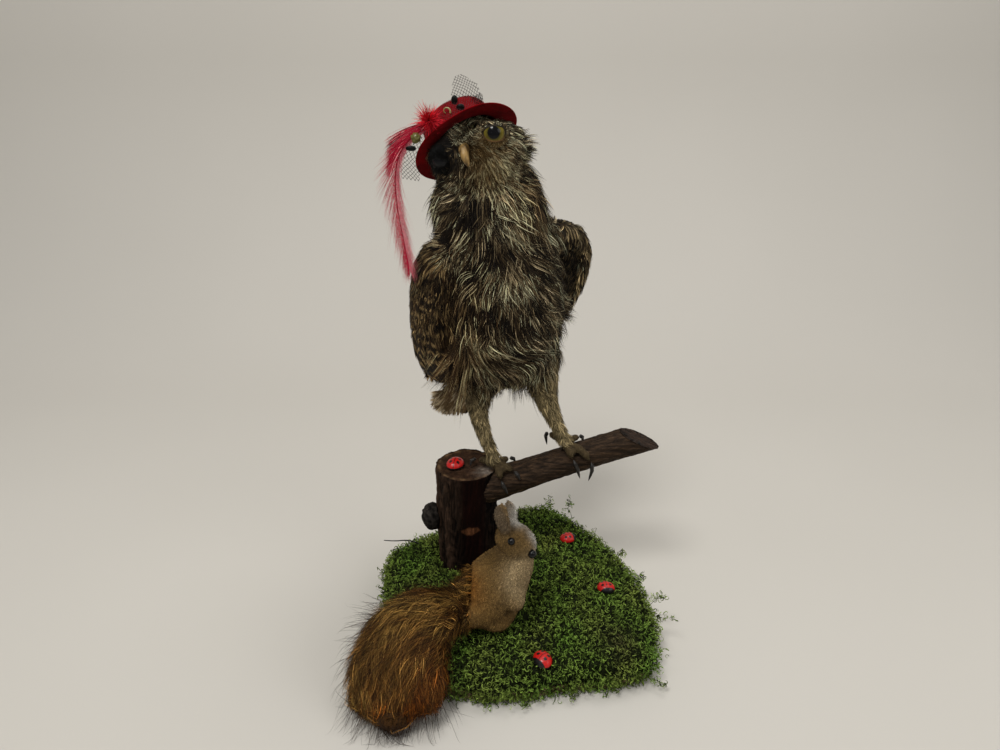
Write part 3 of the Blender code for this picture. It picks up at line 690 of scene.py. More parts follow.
# Where the plumage is combed: from one place to another, in mm, and how far round it.
COMB_WIDTH = 0.0055
COMBED = (
    (-47, -8, 298, -58, 3, 286),
    (-37, -11, 301, -44, -9, 281),
    (-31, -12, 299, -32, -12, 280),
    (-20, -10, 296, -8, -7, 278),
    (-26, -12, 289, -18, -11, 274),
    (-5, -1, 298, 1, 0, 282),
    (3, 9, 297, 5, 5, 285),
    (-8, -8, 270, 11, 5, 253),
    (-3, -6, 260, 17, 13, 239),
    (-8, -8, 271, 9, 4, 259),
    (-12, -10, 268, -8, -9, 250),
    (-15, -11, 269, -14, -11, 255),
    (-27, -11, 262, -32, -10, 257),
    (-41, -8, 267, -48, -2, 253),
    (-38, -11, 275, -47, -5, 270),
    (-54, -2, 273, -65, 1, 268),
    (-44, -3, 253, -47, 0, 242),
    (-28, -11, 254, -29, -11, 239),
    (-16, -11, 251, -12, -10, 234),
    (-1, -6, 249, 11, 4, 225),
    (6, -1, 250, 17, 14, 231),
    (10, 3, 229, 19, 18, 224),
    (-38, -6, 233, -37, -4, 215),
    (-23, -11, 234, -21, -8, 217),
    (-47, 3, 221, -39, -1, 205),
    (-49, 9, 205, -43, 12, 183),
    (-39, -1, 205, -26, -2, 195),
    (-28, -3, 198, -13, -3, 196),
    (-23, -7, 210, 0, -2, 212),
    (-18, -8, 217, -12, -6, 211),
    (-12, -4, 201, 6, 3, 205),
    (1, -4, 223, 4, 0, 211),
    (11, 6, 220, 10, 7, 208),
    (-41, 3, 342, -35, -14, 338),
    (-32, -13, 339, -39, -7, 340),
    (-38, -13, 332, -25, -14, 332),
    (-21, -13, 332, -13, -8, 326),
    (-14, -2, 341, -7, 6, 336),
    (-12, -4, 336, -6, 1, 330),
    (-17, -11, 326, -10, 1, 314),
    (-32, -16, 323, -38, -13, 313),
    (-26, -16, 323, -26, -8, 311),
    (-19, -12, 321, -7, 2, 311),
    (-23, -12, 319, -19, -8, 307),
    (-49, -8, 311, -57, 1, 303),
)

# Paler and darker places: where, how wide, and how much paler (1) or darker (-1). Some are painted shade and
# painted light, as marked.
PATCHES = (
    (-23, -12, 267, 9, -1.1),
    (-17, -12, 252, 8, 1.15),
    (-12, -10, 287, 11, 0.65),
    (-8, -8, 276, 6, 0.5),
    (-16, -10, 230, 9, -0.9),
    (-47, 0, 240, 12, -0.7),
    (-40, -6, 226, 9, -0.4),
    # Painted shade: a little darker in the groove between the left wing and the flank.
    (15, 9, 235, 7, -0.2),
    (-44, -10, 291, 7, -0.7),
    (-24, -6, 207, 10, 0.35),
    (-27, -14, 317, 9, 0.95),
    (-20, -12, 327, 8, 0.55),
    # Painted shade: darker over the open eye's brow, where the brim's shadow falls.
    (-27, -10, 344, 6, -0.35),
    # Painted light: paler on the forehead left of the bill, standing in for light under the brim.
    (-45, -11, 337, 6, 0.9),
    (-37, -13, 338, 5, 0.5),
    (-14, -6, 338, 8, 0.35),
    (-46, -12, 315, 6, 0.4),
    (-12, -4, 314, 7, 0.6),
    (-34, -15, 331, 4, -0.4),
    # Painted shade: near black round the hidden right eye, the brim's shadow.
    (-54, -7, 331, 8, -2.4),
    (31, 37, 261, 7, 0.5),
    (33, 40, 240, 7, 0.5),
    (25, 56, 256, 7, -0.3),
    (24, 56, 238, 7, -0.3),
    (-53, -2, 241, 4, 0.7),
    (-53, -2, 225, 4, 0.6),
    (-55, -6, 264, 6, 0.5),
)
# Places of a warmer tone: where and how wide.
OCHRE_PLACES = (
    (-24, -17, 334, 5), (-29, -17, 325, 6), (-33, -16, 336, 4), (-17, -13, 335, 4), (-35, -17, 329, 4),
)
WARM_PLACES = ((-1, 4, 300, 14), (-27, -14, 317, 9), (-67, 3, 239, 30), (-60, 20, 200, 25))


def near(points, place, radius):
    """How near each point is to a place in mm: 1 at it, falling off over the radius."""
    gap = points - np.array(place[:3]) * MM
    return np.exp(-np.einsum("ij,ij->i", gap, gap) / (2 * (radius * MM) ** 2))


def paleness(points):
    """From about -1.5, darkest, to 1.5, palest."""
    value = 0.30 * noise3(points, 17 * MM, 5) + 0.28 * noise3(points, 7.5 * MM, 6)
    for *place, radius, amount in PATCHES:
        value += amount * near(points, place, radius)
    return value


# Which way the coat lies in each region, in the body's frame or the world's.
LIE_IN_BODY = {
    "trunk": (0, 0.08, -1), "neck": (0, 0.05, -1), "tail": (-0.28, 0.46, -0.85),
    "wing_left": (-0.05, 0.42, -0.9), "wing_right": (0.05, 0.42, -0.9),
}
LIE_OF_LIMBS = {
    "leg_left": (0.3, -0.2, -1), "leg_right": (0.12, -0.2, -1),
    "foot_left": (0.6, -0.6, -0.5), "foot_right": (0.6, -0.6, -0.5),
}


def of_region(owner, *names):
    """Which points belong to the named regions."""
    return np.isin(owner, [FLESH.index(name) for name in names])


def base_lie(points, owner):
    """Down the body, back over the head from the bill, along the wings and tail, and down the legs."""
    lie = np.zeros_like(points)
    for name, way in LIE_IN_BODY.items():
        lie[of_region(owner, name)] = turned_only(BODY, np.array(way, float)[None])[0]
    for name, way in LIE_OF_LIMBS.items():
        lie[of_region(owner, name)] = way
    head = of_region(owner, "head")
    local = apply(HEAD_IN, points[head]) / MM
    from_bill = local - np.array(BILL_ROOT)
    way = unit(from_bill * (1, 0.6, 1))
    for side in EYES.values():
        gap = local - np.array(side)
        weight = np.exp(-((np.linalg.norm(gap, axis=1) - EYE_RADIUS) / 5.0) ** 2)
        way += unit(gap) * weight[:, None] * 1.4
    way[:, 2] -= 0.35 * (local[:, 2] < 0)
    lie[head] = turned_only(HEAD, unit(way))
    return lie


def combed_lie(points, normals, owner):
    """The plain lie, drawn along the combed lines near them, and kept flat on the skin."""
    lie = unit(base_lie(points, owner)) * 0.55
    for x0, y0, z0, x1, y1, z1 in COMBED:
        start, end = mm(x0, y0, z0), mm(x1, y1, z1)
        way = end - start
        step = np.linalg.norm(way)
        share = np.clip(((points - start) @ way) / step**2, 0, 1)
        gap = points - start - share[:, None] * way
        weight = np.exp(-np.einsum("ij,ij->i", gap, gap) / (2 * COMB_WIDTH**2))
        lie += way / step * weight[:, None] * 1.3
    lie += 0.10 * np.stack([noise3(points, 0.012, k) for k in (11, 12, 13)], 1)
    lie -= normals * np.einsum("ij,ij->i", lie, normals)[:, None]
    return unit(lie)


def under_brow(points, over):
    """Presses the front of the crown down onto two slopes that meet just over the open eye."""
    front = np.clip((25 * MM - points[..., 1]) / (8 * MM), 0, 1)
    for way in ((0.22, 0.11, 0.97), (-0.04, 0.12, 0.99)):
        slope = unit(np.array(way))
        above = np.clip((points - mm(-26, 0, 343.8 + over)) @ slope, 0, None)
        points = points - (above * front)[..., None] * slope
    return points


def under_brim(points, over):
    """Keeps points under the hat: below its felt, and well below the brim at the front."""
    local = apply(HAT.inverted(), points) / MM
    reach = np.hypot(local[..., 0], local[..., 1])
    outside = np.clip((reach - 18.5) / 3.0, 0, 1)
    front = np.clip((10 * MM - points[..., 1]) / (14 * MM), 0, 1)
    local[..., 2] = np.minimum(local[..., 2], 7.5 + over / 2 - (7.5 + 6.5 * front) * outside)
    placed = apply(HAT, local * MM)
    return placed + (under_brow(placed, over) - placed) * outside[..., None]


VENT_HEIGHT = 0.188


def draw_up_vent(points, owner):
    """Raises the trunk's underside, below which only the ends of its feathers hang."""
    trunk = of_region(owner, "trunk")
    points[trunk, 2] += 0.38 * np.clip(VENT_HEIGHT - points[trunk, 2], 0, None)


def make_owl_skin():
    """One skin for all the flesh, smoothed and drawn in under the coat. Returns its arrays and regions."""
    mesh = remeshed("owl_skin", [node_shell(name, 0.0004) for name in FLESH], 0.0014)
    skin = Skin(mesh)
    owner, tree = nearest_nodes(skin.points, FLESH)
    skin.relax(np.array(SMOOTHING)[owner], 12)
    normals = skin.normals()
    depth = np.array(COAT_DEPTH)[owner] * MM
    for i in np.flatnonzero(of_region(owner, "wing_left", "wing_right", "tail")):
        hit = tree.ray_cast(Vector(skin.points[i] - normals[i] * 0.0006), Vector(-normals[i]))
        depth[i] = min(depth[i], 0.28 * (hit[3] or 0.004))
    local = apply(HEAD_IN, skin.points) / MM
    for centre, reach in ((EYES["left"], EYE_RADIUS), (EYES["right"], EYE_RADIUS), (BILL_ROOT, 3.0)):
        gap = np.linalg.norm(local - np.array(centre), axis=1) - reach
        depth *= np.clip(gap / 6.5, 0.06, 1)
    for _ in range(8):
        depth = skin.spread(depth[:, None])[:, 0]
    surface_points = skin.points.copy()
    skin.points = skin.points - normals * depth[:, None]
    head = of_region(owner, "head")
    skin.points[head] = under_brim(skin.points[head], 0.0)
    draw_up_vent(skin.points, owner)
    skin.relax(np.array(SMOOTHING)[owner] * 0.5, 4)
    normals = skin.normals()
    lie = combed_lie(surface_points, normals, owner)
    skin.owner, skin.depth, skin.lie, skin.way_out = owner, depth, lie, normals
    shade = np.clip(0.5 + 0.4 * paleness(skin.points), 0, 1)[:, None]
    colours = blend(DARK, UMBER, shade)
    colours[of_region(owner, "leg_left", "leg_right")] = KHAKI * 0.35
    colours[of_region(owner, "foot_left", "foot_right")] = (0.055, 0.038, 0.018)
    set_tint(mesh, colours)
    made = Shader("owl_skin", 0.8, Specular_IOR_Level=0.12)
    scales = made.add("TexVoronoi", feature="DISTANCE_TO_EDGE")
    scales.inputs["Scale"].default_value = 900
    made.link(made.place(), scales.inputs["Vector"])
    made.mottle(500, 0.6, 1.3, 4)
    made.bump(scales.outputs["Distance"], 0.5, 0.0004)
    finish_mesh("owl_skin", mesh, made.material, "feathers", *FLESH)
    return skin


def barb_colours(light, dark, side, even, pale_edge, rng, root_shade, speckle):
    """Each barb's colour along it: a dark shaft streak, paler edges, a darker root and chance variation."""
    edge = np.clip((np.abs(side) - 0.35) / 0.5 + rng.normal(0, 0.35, side.shape), 0, 1)
    share = np.clip(edge * pale_edge[:, None] + rng.normal(0, 0.13, side.shape), 0, 1)[:, :, None, None]
    colour = blend(dark[:, None, None], light[:, None, None], share)
    ramp = (root_shade + (1 - root_shade) * np.minimum(even * 2.0, 1))[None, None, :, None]
    flicker = np.exp(rng.normal(0, speckle, side.shape))[:, :, None, None]
    return np.broadcast_to(colour * ramp * flicker, (*side.shape, len(even), 3))


MOST_IN_A_COAT = 190000


class Coat:
    """Grows feathers or fur on a skin, as one or more pieces of less than 200,000 triangles."""

    def __init__(self, name, skin, slot_name, material, region=None):
        self.name, self.skin, self.slot, self.material, self.region = name, skin, slot_name, material, region
        self.surface = skin.surface()
        self.parts = []
        self.pressed = None

    def roots(self, spacing, rng, keep=None):
        """Places for tufts over the coat's region, and only those that pass the test, if one is given."""
        triangles = self.skin.triangles()
        chosen = of_region(self.skin.owner[triangles[:, 0]], self.region)
        places = scatter(self.skin.points, triangles, np.flatnonzero(chosen), spacing * MM, rng)
        if keep is not None:
            places = places[keep(places)]
        return places

    def grow(self, roots, lengths, widths, barbs, segments, rng, light, dark, pale_edge,
             steps=4, rise=1.0, stray=0.12, speckle=0.22, root_shade=0.35, **shape):
        """Adds a tuft at each root, of a length, a width, barbs and segments, with its colours."""
        widths = np.broadcast_to(widths, len(roots))
        pale_edge = np.broadcast_to(pale_edge, len(roots))
        line, normal = guides(self.surface, roots, lengths, steps, rise, stray, rng)
        points, even, side = vanes(line, normal, widths, barbs, segments, rng, **shape)
        points[..., 2] = np.maximum(points[..., 2], 0.0004)
        if self.pressed:
            points = self.pressed(points)
        colours = barb_colours(light, dark, side, even, pale_edge, rng, root_shade, speckle)
        self.parts.append((roots, points, per_corner(colours, segments), barbs, segments))

    def finish(self, unwrap):
        """Makes the pieces, each tuft's UV patch at its root's place on the unwrap."""
        made = 0
        for roots, points, colours, barbs, segments in self.parts:
            each = barbs * (2 * segments - 1)
            pieces = int(math.ceil(len(roots) * each / MOST_IN_A_COAT))
            order = np.argsort(roots[:, 2], kind="stable")
            for group in np.array_split(order, pieces):
                places = unwrap(roots[group])
                uv = np.broadcast_to(patches(places, barbs, segments), (*points[group].shape[:3], 2))
                made += 1
                name = f"{self.name}_{made}"
                piece = coat_piece(name, points[group], colours[group], uv, segments, self.material)
                finish_piece(piece, self.slot)


def tones(points, rng, vary=0.62):
    """For each feather: its edge colour, its shaft colour and how much of it the edge colour takes."""
    pale = paleness(points) + rng.normal(0, vary, len(points))
    rich = np.clip(0.15 + pale, 0, 1)[:, None]
    light = blend(BUFF, CREAM, rich)
    light = np.minimum(light * np.clip(0.45 + 1.25 * pale, 0.03, 1.8)[:, None], 0.85)
    dark = DARK + (UMBER - DARK) * np.clip(0.20 + 0.45 * pale, 0, 1.0)[:, None]
    for *place, radius in WARM_PLACES:
        warm = near(points, place, radius)[:, None] * 0.6
        light = blend(light, light * np.array((1.12, 0.90, 0.62)), warm)
        dark = blend(dark, dark * np.array((1.5, 1.05, 0.7)), warm)
    for *place, radius in OCHRE_PLACES:
        part = near(points, place, radius)[:, None] * 0.65
        light = blend(light, OCHRE, part)
        dark = blend(dark, OCHRE * 0.3, part)
    return light, dark, np.clip(0.60 + 0.5 * pale, 0.05, 1.0)


def make_body_coat(skin, material):
    """Trunk and neck: a close coat, longer stray feathers over it, and on the trunk some that stand free."""
    rng = np.random.default_rng(21)
    for region, spacing, length, width, vary in (
        ("trunk", 2.4, 16.0, 2.4, 0.80),
        ("neck", 2.1, 13.0, 1.9, 0.66),
    ):
        coat = Coat(f"coat_{region}", skin, "feathers", material, region)
        roots = coat.roots(spacing, rng)
        light, dark, share = tones(roots + coat.surface.at(roots)[2] * 0.5 * length * MM, rng, vary)
        low_down = np.clip((roots[:, 2] - 0.155) / 0.04, 0.5, 1)
        lengths = varied(rng, length, 0.18, len(roots)) * low_down
        widths = varied(rng, width, 0.15, len(roots))
        coat.grow(
            roots, lengths, widths, 8, 4, rng, light, dark, share,
            stray=0.17, fray=0.2, splay=1.15, fill=1.15, tip=0.85, root_shade=0.2, speckle=0.38,
        )
        strays = coat.roots(4.2, rng)
        light, dark, share = tones(strays + coat.surface.at(strays)[2] * 0.5 * length * MM, rng, 0.8)
        coat.grow(
            strays, varied(rng, 1.05 * length, 0.2, len(strays)), 1.5 * MM, 4, 5, rng, light, dark, share,
            stray=0.38, fray=0.25, rise=1.9, splay=1.5, fill=0.8, tip=0.9, root_shade=0.3, steps=5,
        )
        if region == "trunk":
            loose_feathers(coat, rng, LOOSE_ON_TRUNK)
        coat.finish(unwrap_of(skin.points[of_region(skin.owner, "trunk", "neck")]))


# Where long loose feathers stand off the coat: where, how wide, how long, how pale and which way, in mm.
LOOSE_ON_TRUNK = (
    (-58, 8, 190, 6, 19, 0.3, (0, 0, -1)),
    (-56, 0, 198, 6, 19, 0.2, (0, 0, -1)),
    (-54, 20, 182, 7, 17, 0.3, (0, 0, -1)),
    (-50, 12, 198, 8, 27, 0.2, (-0.22, 0.08, -1)),
    (-49, 16, 188, 7, 20, 0.2, (-0.40, 0.05, -1)),
    (-8, 28, 172, 4, 15, -1.5, (0, 0, -1)),
    (-30, 30, 172, 7, 9, -0.3, (0, 0, -1)),
    (20, 34, 190, 6, 15, 0.2, (0, 0, -1)),
    (19, 30, 226, 6, 11, 0.4, (0.75, 0.1, -0.5)),
    (-47, 4, 176, 6, 14, 0.1, (0, 0, -1)),
)
LOOSE_ON_HEAD = (
    (-9, 6, 332, 3, 5.5, -0.4, (0.9, 0.2, -0.1)),
    (-7, 9, 324, 4, 5.5, -0.4, (0.9, 0.1, -0.5)),
    (-6, 10, 315, 4, 5.5, -0.3, (0.7, 0.1, -0.9)),
)


def loose_feathers(coat, rng, table):
    """Ragged feathers that stand free of the coat round them."""
    for x, y, z, wide, long, pale, aim in table:
        roots = coat.roots(2.2, rng, lambda places: near(places, (x, y, z), wide) > 0.3)
        many, barbs, segments = len(roots), 7, 5
        if many == 0:
            continue
        line = np.zeros((many, segments + 1, 3))
        out = coat.surface.at(roots)[1]
        way = unit(np.array(aim) + 0.22 * rng.normal(size=(many, 3)) + out * 0.12)
        lengths = varied(rng, long, 0.25, many)
        for k in range(segments + 1):
            part = k / segments
            line[:, k] = roots + way * (lengths * part)[:, None] + out * (2.4 * MM * math.sin(2.4 * part))
        normal = np.broadcast_to(out[:, None], line.shape)
        light, dark, share = tones(roots, rng)
        lit = math.exp(0.6 * pale)
        widths = np.full(many, 1.5 * MM)
        points, even, side = vanes(line, normal, widths, barbs, segments, rng, splay=1.3, fray=0.25, tip=0.9)
        colours = barb_colours(light * lit, dark * lit, side, even, share, rng, 0.4, 0.35)
        coat.parts.append((roots, points, per_corner(colours, segments), barbs, segments))


def make_head_coat(skin, material):
    """Short and fine round the eyes and bill, longer over the cheeks and crown."""
    rng = np.random.default_rng(22)
    coat = Coat("coat_head", skin, "feathers", material, "head")
    coat.pressed = lambda points: under_brim(points, 1.6)

    def reach(places):
        local = apply(HEAD_IN, places) / MM
        from_eyes = [np.linalg.norm(local - np.array(eye), axis=1) for eye in EYES.values()]
        return np.min(from_eyes, axis=0) - EYE_RADIUS, np.linalg.norm(local - np.array(BILL_ROOT), axis=1)

    def outside(places):
        eye, bill = reach(places)
        hat = apply(HAT.inverted(), places) / MM
        covered = (hat[:, 2] > 2.5) & (np.hypot(hat[:, 0], hat[:, 1]) < 24)
        return (eye > 0.5) & (bill > 3.2) & ~covered

    roots = coat.roots(1.25, rng, outside)
    eye, bill = reach(roots)
    farness = np.clip(np.minimum(eye / 12, (bill - 3) / 12), 0, 1)
    lengths = varied(rng, 2.8 + 5.0 * farness, 0.15, len(roots))
    widths = (0.55 + 0.65 * farness) * MM
    light, dark, share = tones(roots, rng)
    coat.grow(
        roots, lengths, widths, 5, 3, rng, light, dark, share,
        stray=0.2, fray=0.18, steps=3, rise=1.1, fill=1.25, tip=0.75, root_shade=0.25, speckle=0.3,
    )
    roots = coat.roots(3.2, rng, lambda places: outside(places) & (reach(places)[0] > 4.5))
    light, dark, share = tones(roots, rng)
    coat.grow(
        roots, varied(rng, 7.0, 0.2, len(roots)), 0.9 * MM, 5, 4, rng, light * 0.8, dark * 0.7, share * 0.7,
        stray=0.5, fray=0.25, rise=1.7, splay=1.6, fill=0.7, tip=0.9,
    )
    loose_feathers(coat, rng, LOOSE_ON_HEAD)

    def around_bill(places):
        in_the_dark = near(places, (-54, -9, 329), 7) > 0.35
        return (np.abs(reach(places)[1] - 6.8) < 2.2) & ~in_the_dark

    roots = coat.roots(0.9, rng, around_bill)
    light, dark, share = tones(roots, rng, 0.9)
    coat.grow(
        roots, varied(rng, 4.2, 0.3, len(roots)), 0.5 * MM, 3, 4, rng, light * 0.8, dark, share,
        stray=0.5, fray=0.25, rise=3.6, splay=1.5, fill=0.7, tip=0.9,
    )
    coat.finish(unwrap_of(skin.points[of_region(skin.owner, "head")]))


def wing_unwrap(surface, outward):
    """The wing laid out flat, its outer face beside its inner one."""
    def unwrap(places):
        local = apply(BODY_IN, places)
        across = np.clip((local[:, 1] + 0.03) / 0.11, 0, 1)
        down = np.clip((local[:, 2] + 0.06) / 0.16, 0.01, 0.99)
        outer = turned_only(BODY_IN, surface.at(places)[1])[:, 0] * outward > 0
        return np.stack([across * 0.48 + np.where(outer, 0.01, 0.51), down], -1)

    return unwrap


def pinnate(line, normal, half_width, barbs, segments, rng, lean=50, fray=0.06, thick=0.55, ragged=0.0):
    """Feathers with barbs down both sides of a shaft: points, shares, and each barb's place and side."""
    count = len(line)
    place = (np.arange(barbs) + 0.5) / barbs
    steps = line.shape[1] - 1
    full = np.linalg.norm(np.diff(line, axis=1), axis=2).sum(1)
    share = np.broadcast_to(place[None, :, None], (count, barbs, 1))
    root = along(line, share)[:, :, 0]
    up = unit(along(normal, share)[:, :, 0])
    before, after = np.maximum(share - 0.5 / steps, 0), np.minimum(share + 0.5 / steps, 1)
    ahead = unit(along(line, after)[:, :, 0] - along(line, before)[:, :, 0])
    across = unit(np.cross(ahead, up))
    angle = np.radians(lean) * (1 - 0.65 * place**2)[None, :]
    even = np.linspace(0, 1, segments + 1)
    found = []
    for side in (-1, 1):
        long = half_width(place)[None, :] / np.sin(angle) * (1 + rng.normal(0, fray, (count, barbs)))
        long = np.minimum(long, (1.15 - place)[None, :] * full[:, None] + 0.002)
        bend = angle + rng.normal(0, 0.05 + ragged, (count, barbs))
        out = (np.sin(bend)[..., None] * even * (1 - 0.12 * even)) * long[..., None]
        on = (np.cos(bend)[..., None] * even * (1 + 0.25 * even)) * long[..., None]
        shaky = rng.normal(0, 0.3 * ragged, (count, barbs, 1))
        droop = -0.10 * long[..., None] * even**2 + shaky * long[..., None] * even
        centre = (
            root[:, :, None] + across[:, :, None] * (side * out[..., None])
            + ahead[:, :, None] * on[..., None] + up[:, :, None] * droop[..., None]
        )
        half = (full[:, None, None] / barbs * thick) * np.maximum(1 - even, 0.0)[None, None, :] ** 0.4
        edge_way = ahead * np.sin(bend)[..., None] - across * side * np.cos(bend)[..., None]
        edge = edge_way[:, :, None] * half[..., None]
        found.append(tapered(centre, edge))
    return np.concatenate(found, axis=1), even, place, np.repeat((-1, 1), barbs)


def shaft_strip(line, normal, half, rng, colour):
    """A narrow strip along each feather's middle, as one more barb: points and colours."""
    steps = line.shape[1] - 1
    ahead = unit(np.gradient(line, axis=1))
    across = unit(np.cross(ahead, normal))
    size = half * (1 - 0.7 * np.linspace(0, 1, steps + 1))[None, :, None]
    points = tapered((line + normal * 0.00025)[:, None], (across * size)[:, None])
    colours = np.broadcast_to(colour, points.shape) * np.exp(rng.normal(0, 0.15, (len(line), 1, 1, 1)))
    return points, colours


def feather_width(half):
    """A feather's half width along it: narrow at the quill, full in the middle and rounded at the tip."""
    def width(place):
        rise = np.clip(place / 0.25, 0, 1) ** 0.6
        fall = np.sqrt(np.clip((1.02 - place) / 0.26, 0.02, 1))
        return half * (0.25 + 0.75 * rise) * fall
    return width


def barred(rng, count, even, place, dark, pale, bars, spotty):
    """Colours of flight feathers: pale bars or spots across a dark vane, fainter by the shaft."""
    reach = place[None, :, None] + 0.12 * even[None, None, :]
    wave = 0.5 + 0.5 * np.cos(reach * bars * 2 * math.pi + rng.uniform(0, 6.28, (count, 1, 1)))
    spot = np.clip((wave - spotty) / 0.12, 0, 1) * np.clip((even[None, None, :] - 0.15) / 0.25, 0, 1)
    both = np.concatenate([spot, spot], axis=1)[..., None]
    return blend(dark, pale, both) * np.exp(rng.normal(0, 0.2, (count, both.shape[1], 1, 1)))


def add_feathers(coat, line, normal, half, barbs, rng, dark, pale, bars, spotty):
    """Flight feathers along the given lines, each with its shaft."""
    segments = 3
    width = feather_width(half * MM)
    points, even, place, _ = pinnate(line, normal, width, barbs, segments, rng, ragged=0.03)
    colours = barred(rng, len(line), even, place, dark, pale, bars, spotty)
    coat.parts.append((line[:, 0], points, per_corner(colours, segments), 2 * barbs, segments))
    strip, colour = shaft_strip(line, normal, 0.00028, rng, np.array((0.05, 0.035, 0.02)))
    coat.parts.append((line[:, 0], strip, colour, 1, line.shape[1] - 1))


def drawn_lines(surface, starts, ends, lift):
    """Straight lines laid onto a surface, each raised by its own lift, with the surface's normals."""
    line = blend(starts[:, None], ends[:, None], np.linspace(0, 1, 9)[:, None])
    on, normal, _, _ = surface.at(line.reshape(-1, 3))
    normal = unit(normal).reshape(line.shape)
    return on.reshape(line.shape) + normal * lift[:, None, None], normal


# Rows of flight feathers on a wing: height of their roots, how many, half width in mm, how far down they
# reach, and lift in mm.
WING_ROWS = ((0.012, 11, 5.0, 1.0, 0.7), (0.034, 10, 4.2, 0.62, 1.2), (0.052, 10, 3.6, 0.45, 1.6))


def wing_row(own, top, many, low_share):
    """Roots and tips, in the body's frame, of a row of feathers across the wing that has these points."""
    starts, ends = [], []
    row = own[np.abs(own[:, 2] - top) < 0.004]
    x = (row[:, 0].min() + row[:, 0].max()) / 2
    for k in range(many):
        part = (k + 0.5) / many
        y = row[:, 1].min() + (row[:, 1].max() - row[:, 1].min()) * (0.06 + 0.88 * part)
        tip_y = y + (0.012 + 0.016 * part)
        below = own[np.abs(own[:, 1] - min(tip_y, own[:, 1].max() - 0.002)) < 0.003]
        tip_z = top + (below[:, 2].min() + 0.001 - top) * low_share
        nearest = own[np.linalg.norm(own[:, 1:] - (tip_y, tip_z), axis=1).argmin()]
        starts.append((x, y, top))
        ends.append((nearest[0], tip_y, tip_z))
    return np.array(starts), np.array(ends)


def make_wing(region, outward, skin, material):
    """Coverts over the whole wing, and on each of its faces a fan of flight feathers down to its tip."""
    rng = np.random.default_rng(31 if outward > 0 else 32)
    coat = Coat(f"coat_{region}", skin, "feathers", material, region)
    on_wing = of_region(skin.owner, region)
    own = apply(BODY_IN, skin.points[on_wing])
    # Painted light and shade: the left wing gets a lighter copy of the right wing's dark and pale.
    dark, pale = np.array((0.013, 0.007, 0.0025)), np.array((0.46, 0.31, 0.135))
    if outward > 0:
        dark, pale = np.array((0.040, 0.024, 0.010)), np.array((0.66, 0.49, 0.25))
    for face in (1, -1):
        one_face = skin.surface(on_wing & (turned_only(BODY_IN, skin.way_out)[:, 0] * face > 0.25))
        for top, many, half, low_share, lift in WING_ROWS:
            starts, ends = wing_row(own, top, many, low_share)
            lifts = (lift + 0.12 * (np.arange(many) % 3)) * MM
            line, normal = drawn_lines(one_face, apply(BODY, starts), apply(BODY, ends), lifts)
            add_feathers(coat, line, normal, half, 46, rng, dark, pale, 4.0, 0.70)
    roots = coat.roots(2.3, rng)
    height = apply(BODY_IN, roots)[:, 2]
    share = np.clip((height + 0.045) / 0.12, 0, 1)
    kept = rng.random(len(roots)) < 0.25 + 1.4 * share
    roots = roots[kept & (height > 0.022 + 0.01 * rng.normal(size=len(roots)))]
    light, shaft, amount = tones(roots, rng)
    light = np.where((rng.random(len(roots)) < 0.5)[:, None], pale * 1.3, light * 0.35)
    coat.grow(
        roots, varied(rng, 9.5, 0.18, len(roots)), 2.1 * MM, 7, 4, rng, light, shaft * 0.8, amount,
        stray=0.14, fray=0.14, splay=1.0, rise=1.4, fill=1.25, tip=0.7, root_shade=0.22,
    )
    coat.finish(wing_unwrap(coat.surface, outward))


def make_tail_coat(skin, material):
    """Twelve rectrices on each face of the tail, with short coverts over their roots."""
    rng = np.random.default_rng(33)
    coat = Coat("coat_tail", skin, "feathers", material, "tail")
    on_tail = of_region(skin.owner, "tail")
    own = skin.points[on_tail]
    middle = own.mean(0)
    # The tail's own axes, the longest of them turned to point down.
    axes = np.linalg.svd(own - middle, full_matrices=False)[2]
    axes[0] *= -np.sign(axes[0, 2])
    reach = (own - middle) @ axes[0]
    # The tail's own tones, lifted as painted light against the shade that it sits in.
    dark, pale = np.array((0.19, 0.125, 0.062)), np.array((0.74, 0.60, 0.40))
    many = 12
    part = (np.arange(many) + 0.5) / many - 0.5
    starts = np.stack([np.full(many, reach.min() + 0.004), part * 0.012, np.zeros(many)], 1)
    ends = np.stack([reach.max() - 0.002 - 0.010 * (2 * part) ** 2, part * 0.034, np.zeros(many)], 1)
    lifts = (0.5 + 0.2 * (np.arange(many) % 3)) * MM
    for face in (1, -1):
        one_face = skin.surface(on_tail & ((skin.way_out @ axes[2]) * face > 0.2))
        line, normal = drawn_lines(one_face, starts @ axes + middle, ends @ axes + middle, lifts)
        add_feathers(coat, line, normal, 5.0, 48, rng, dark, pale, 3.2, 0.55)
    roots = coat.roots(2.6, rng)
    roots = roots[((roots - middle) @ axes[0]) < -0.004]
    light, shaft, amount = tones(roots, rng)
    coat.grow(
        roots, varied(rng, 11, 0.2, len(roots)), 2.0 * MM, 6, 4, rng, light, shaft, amount,
        stray=0.2, fray=0.15, rise=1.5,
    )
    coat.finish(unwrap_of(own))


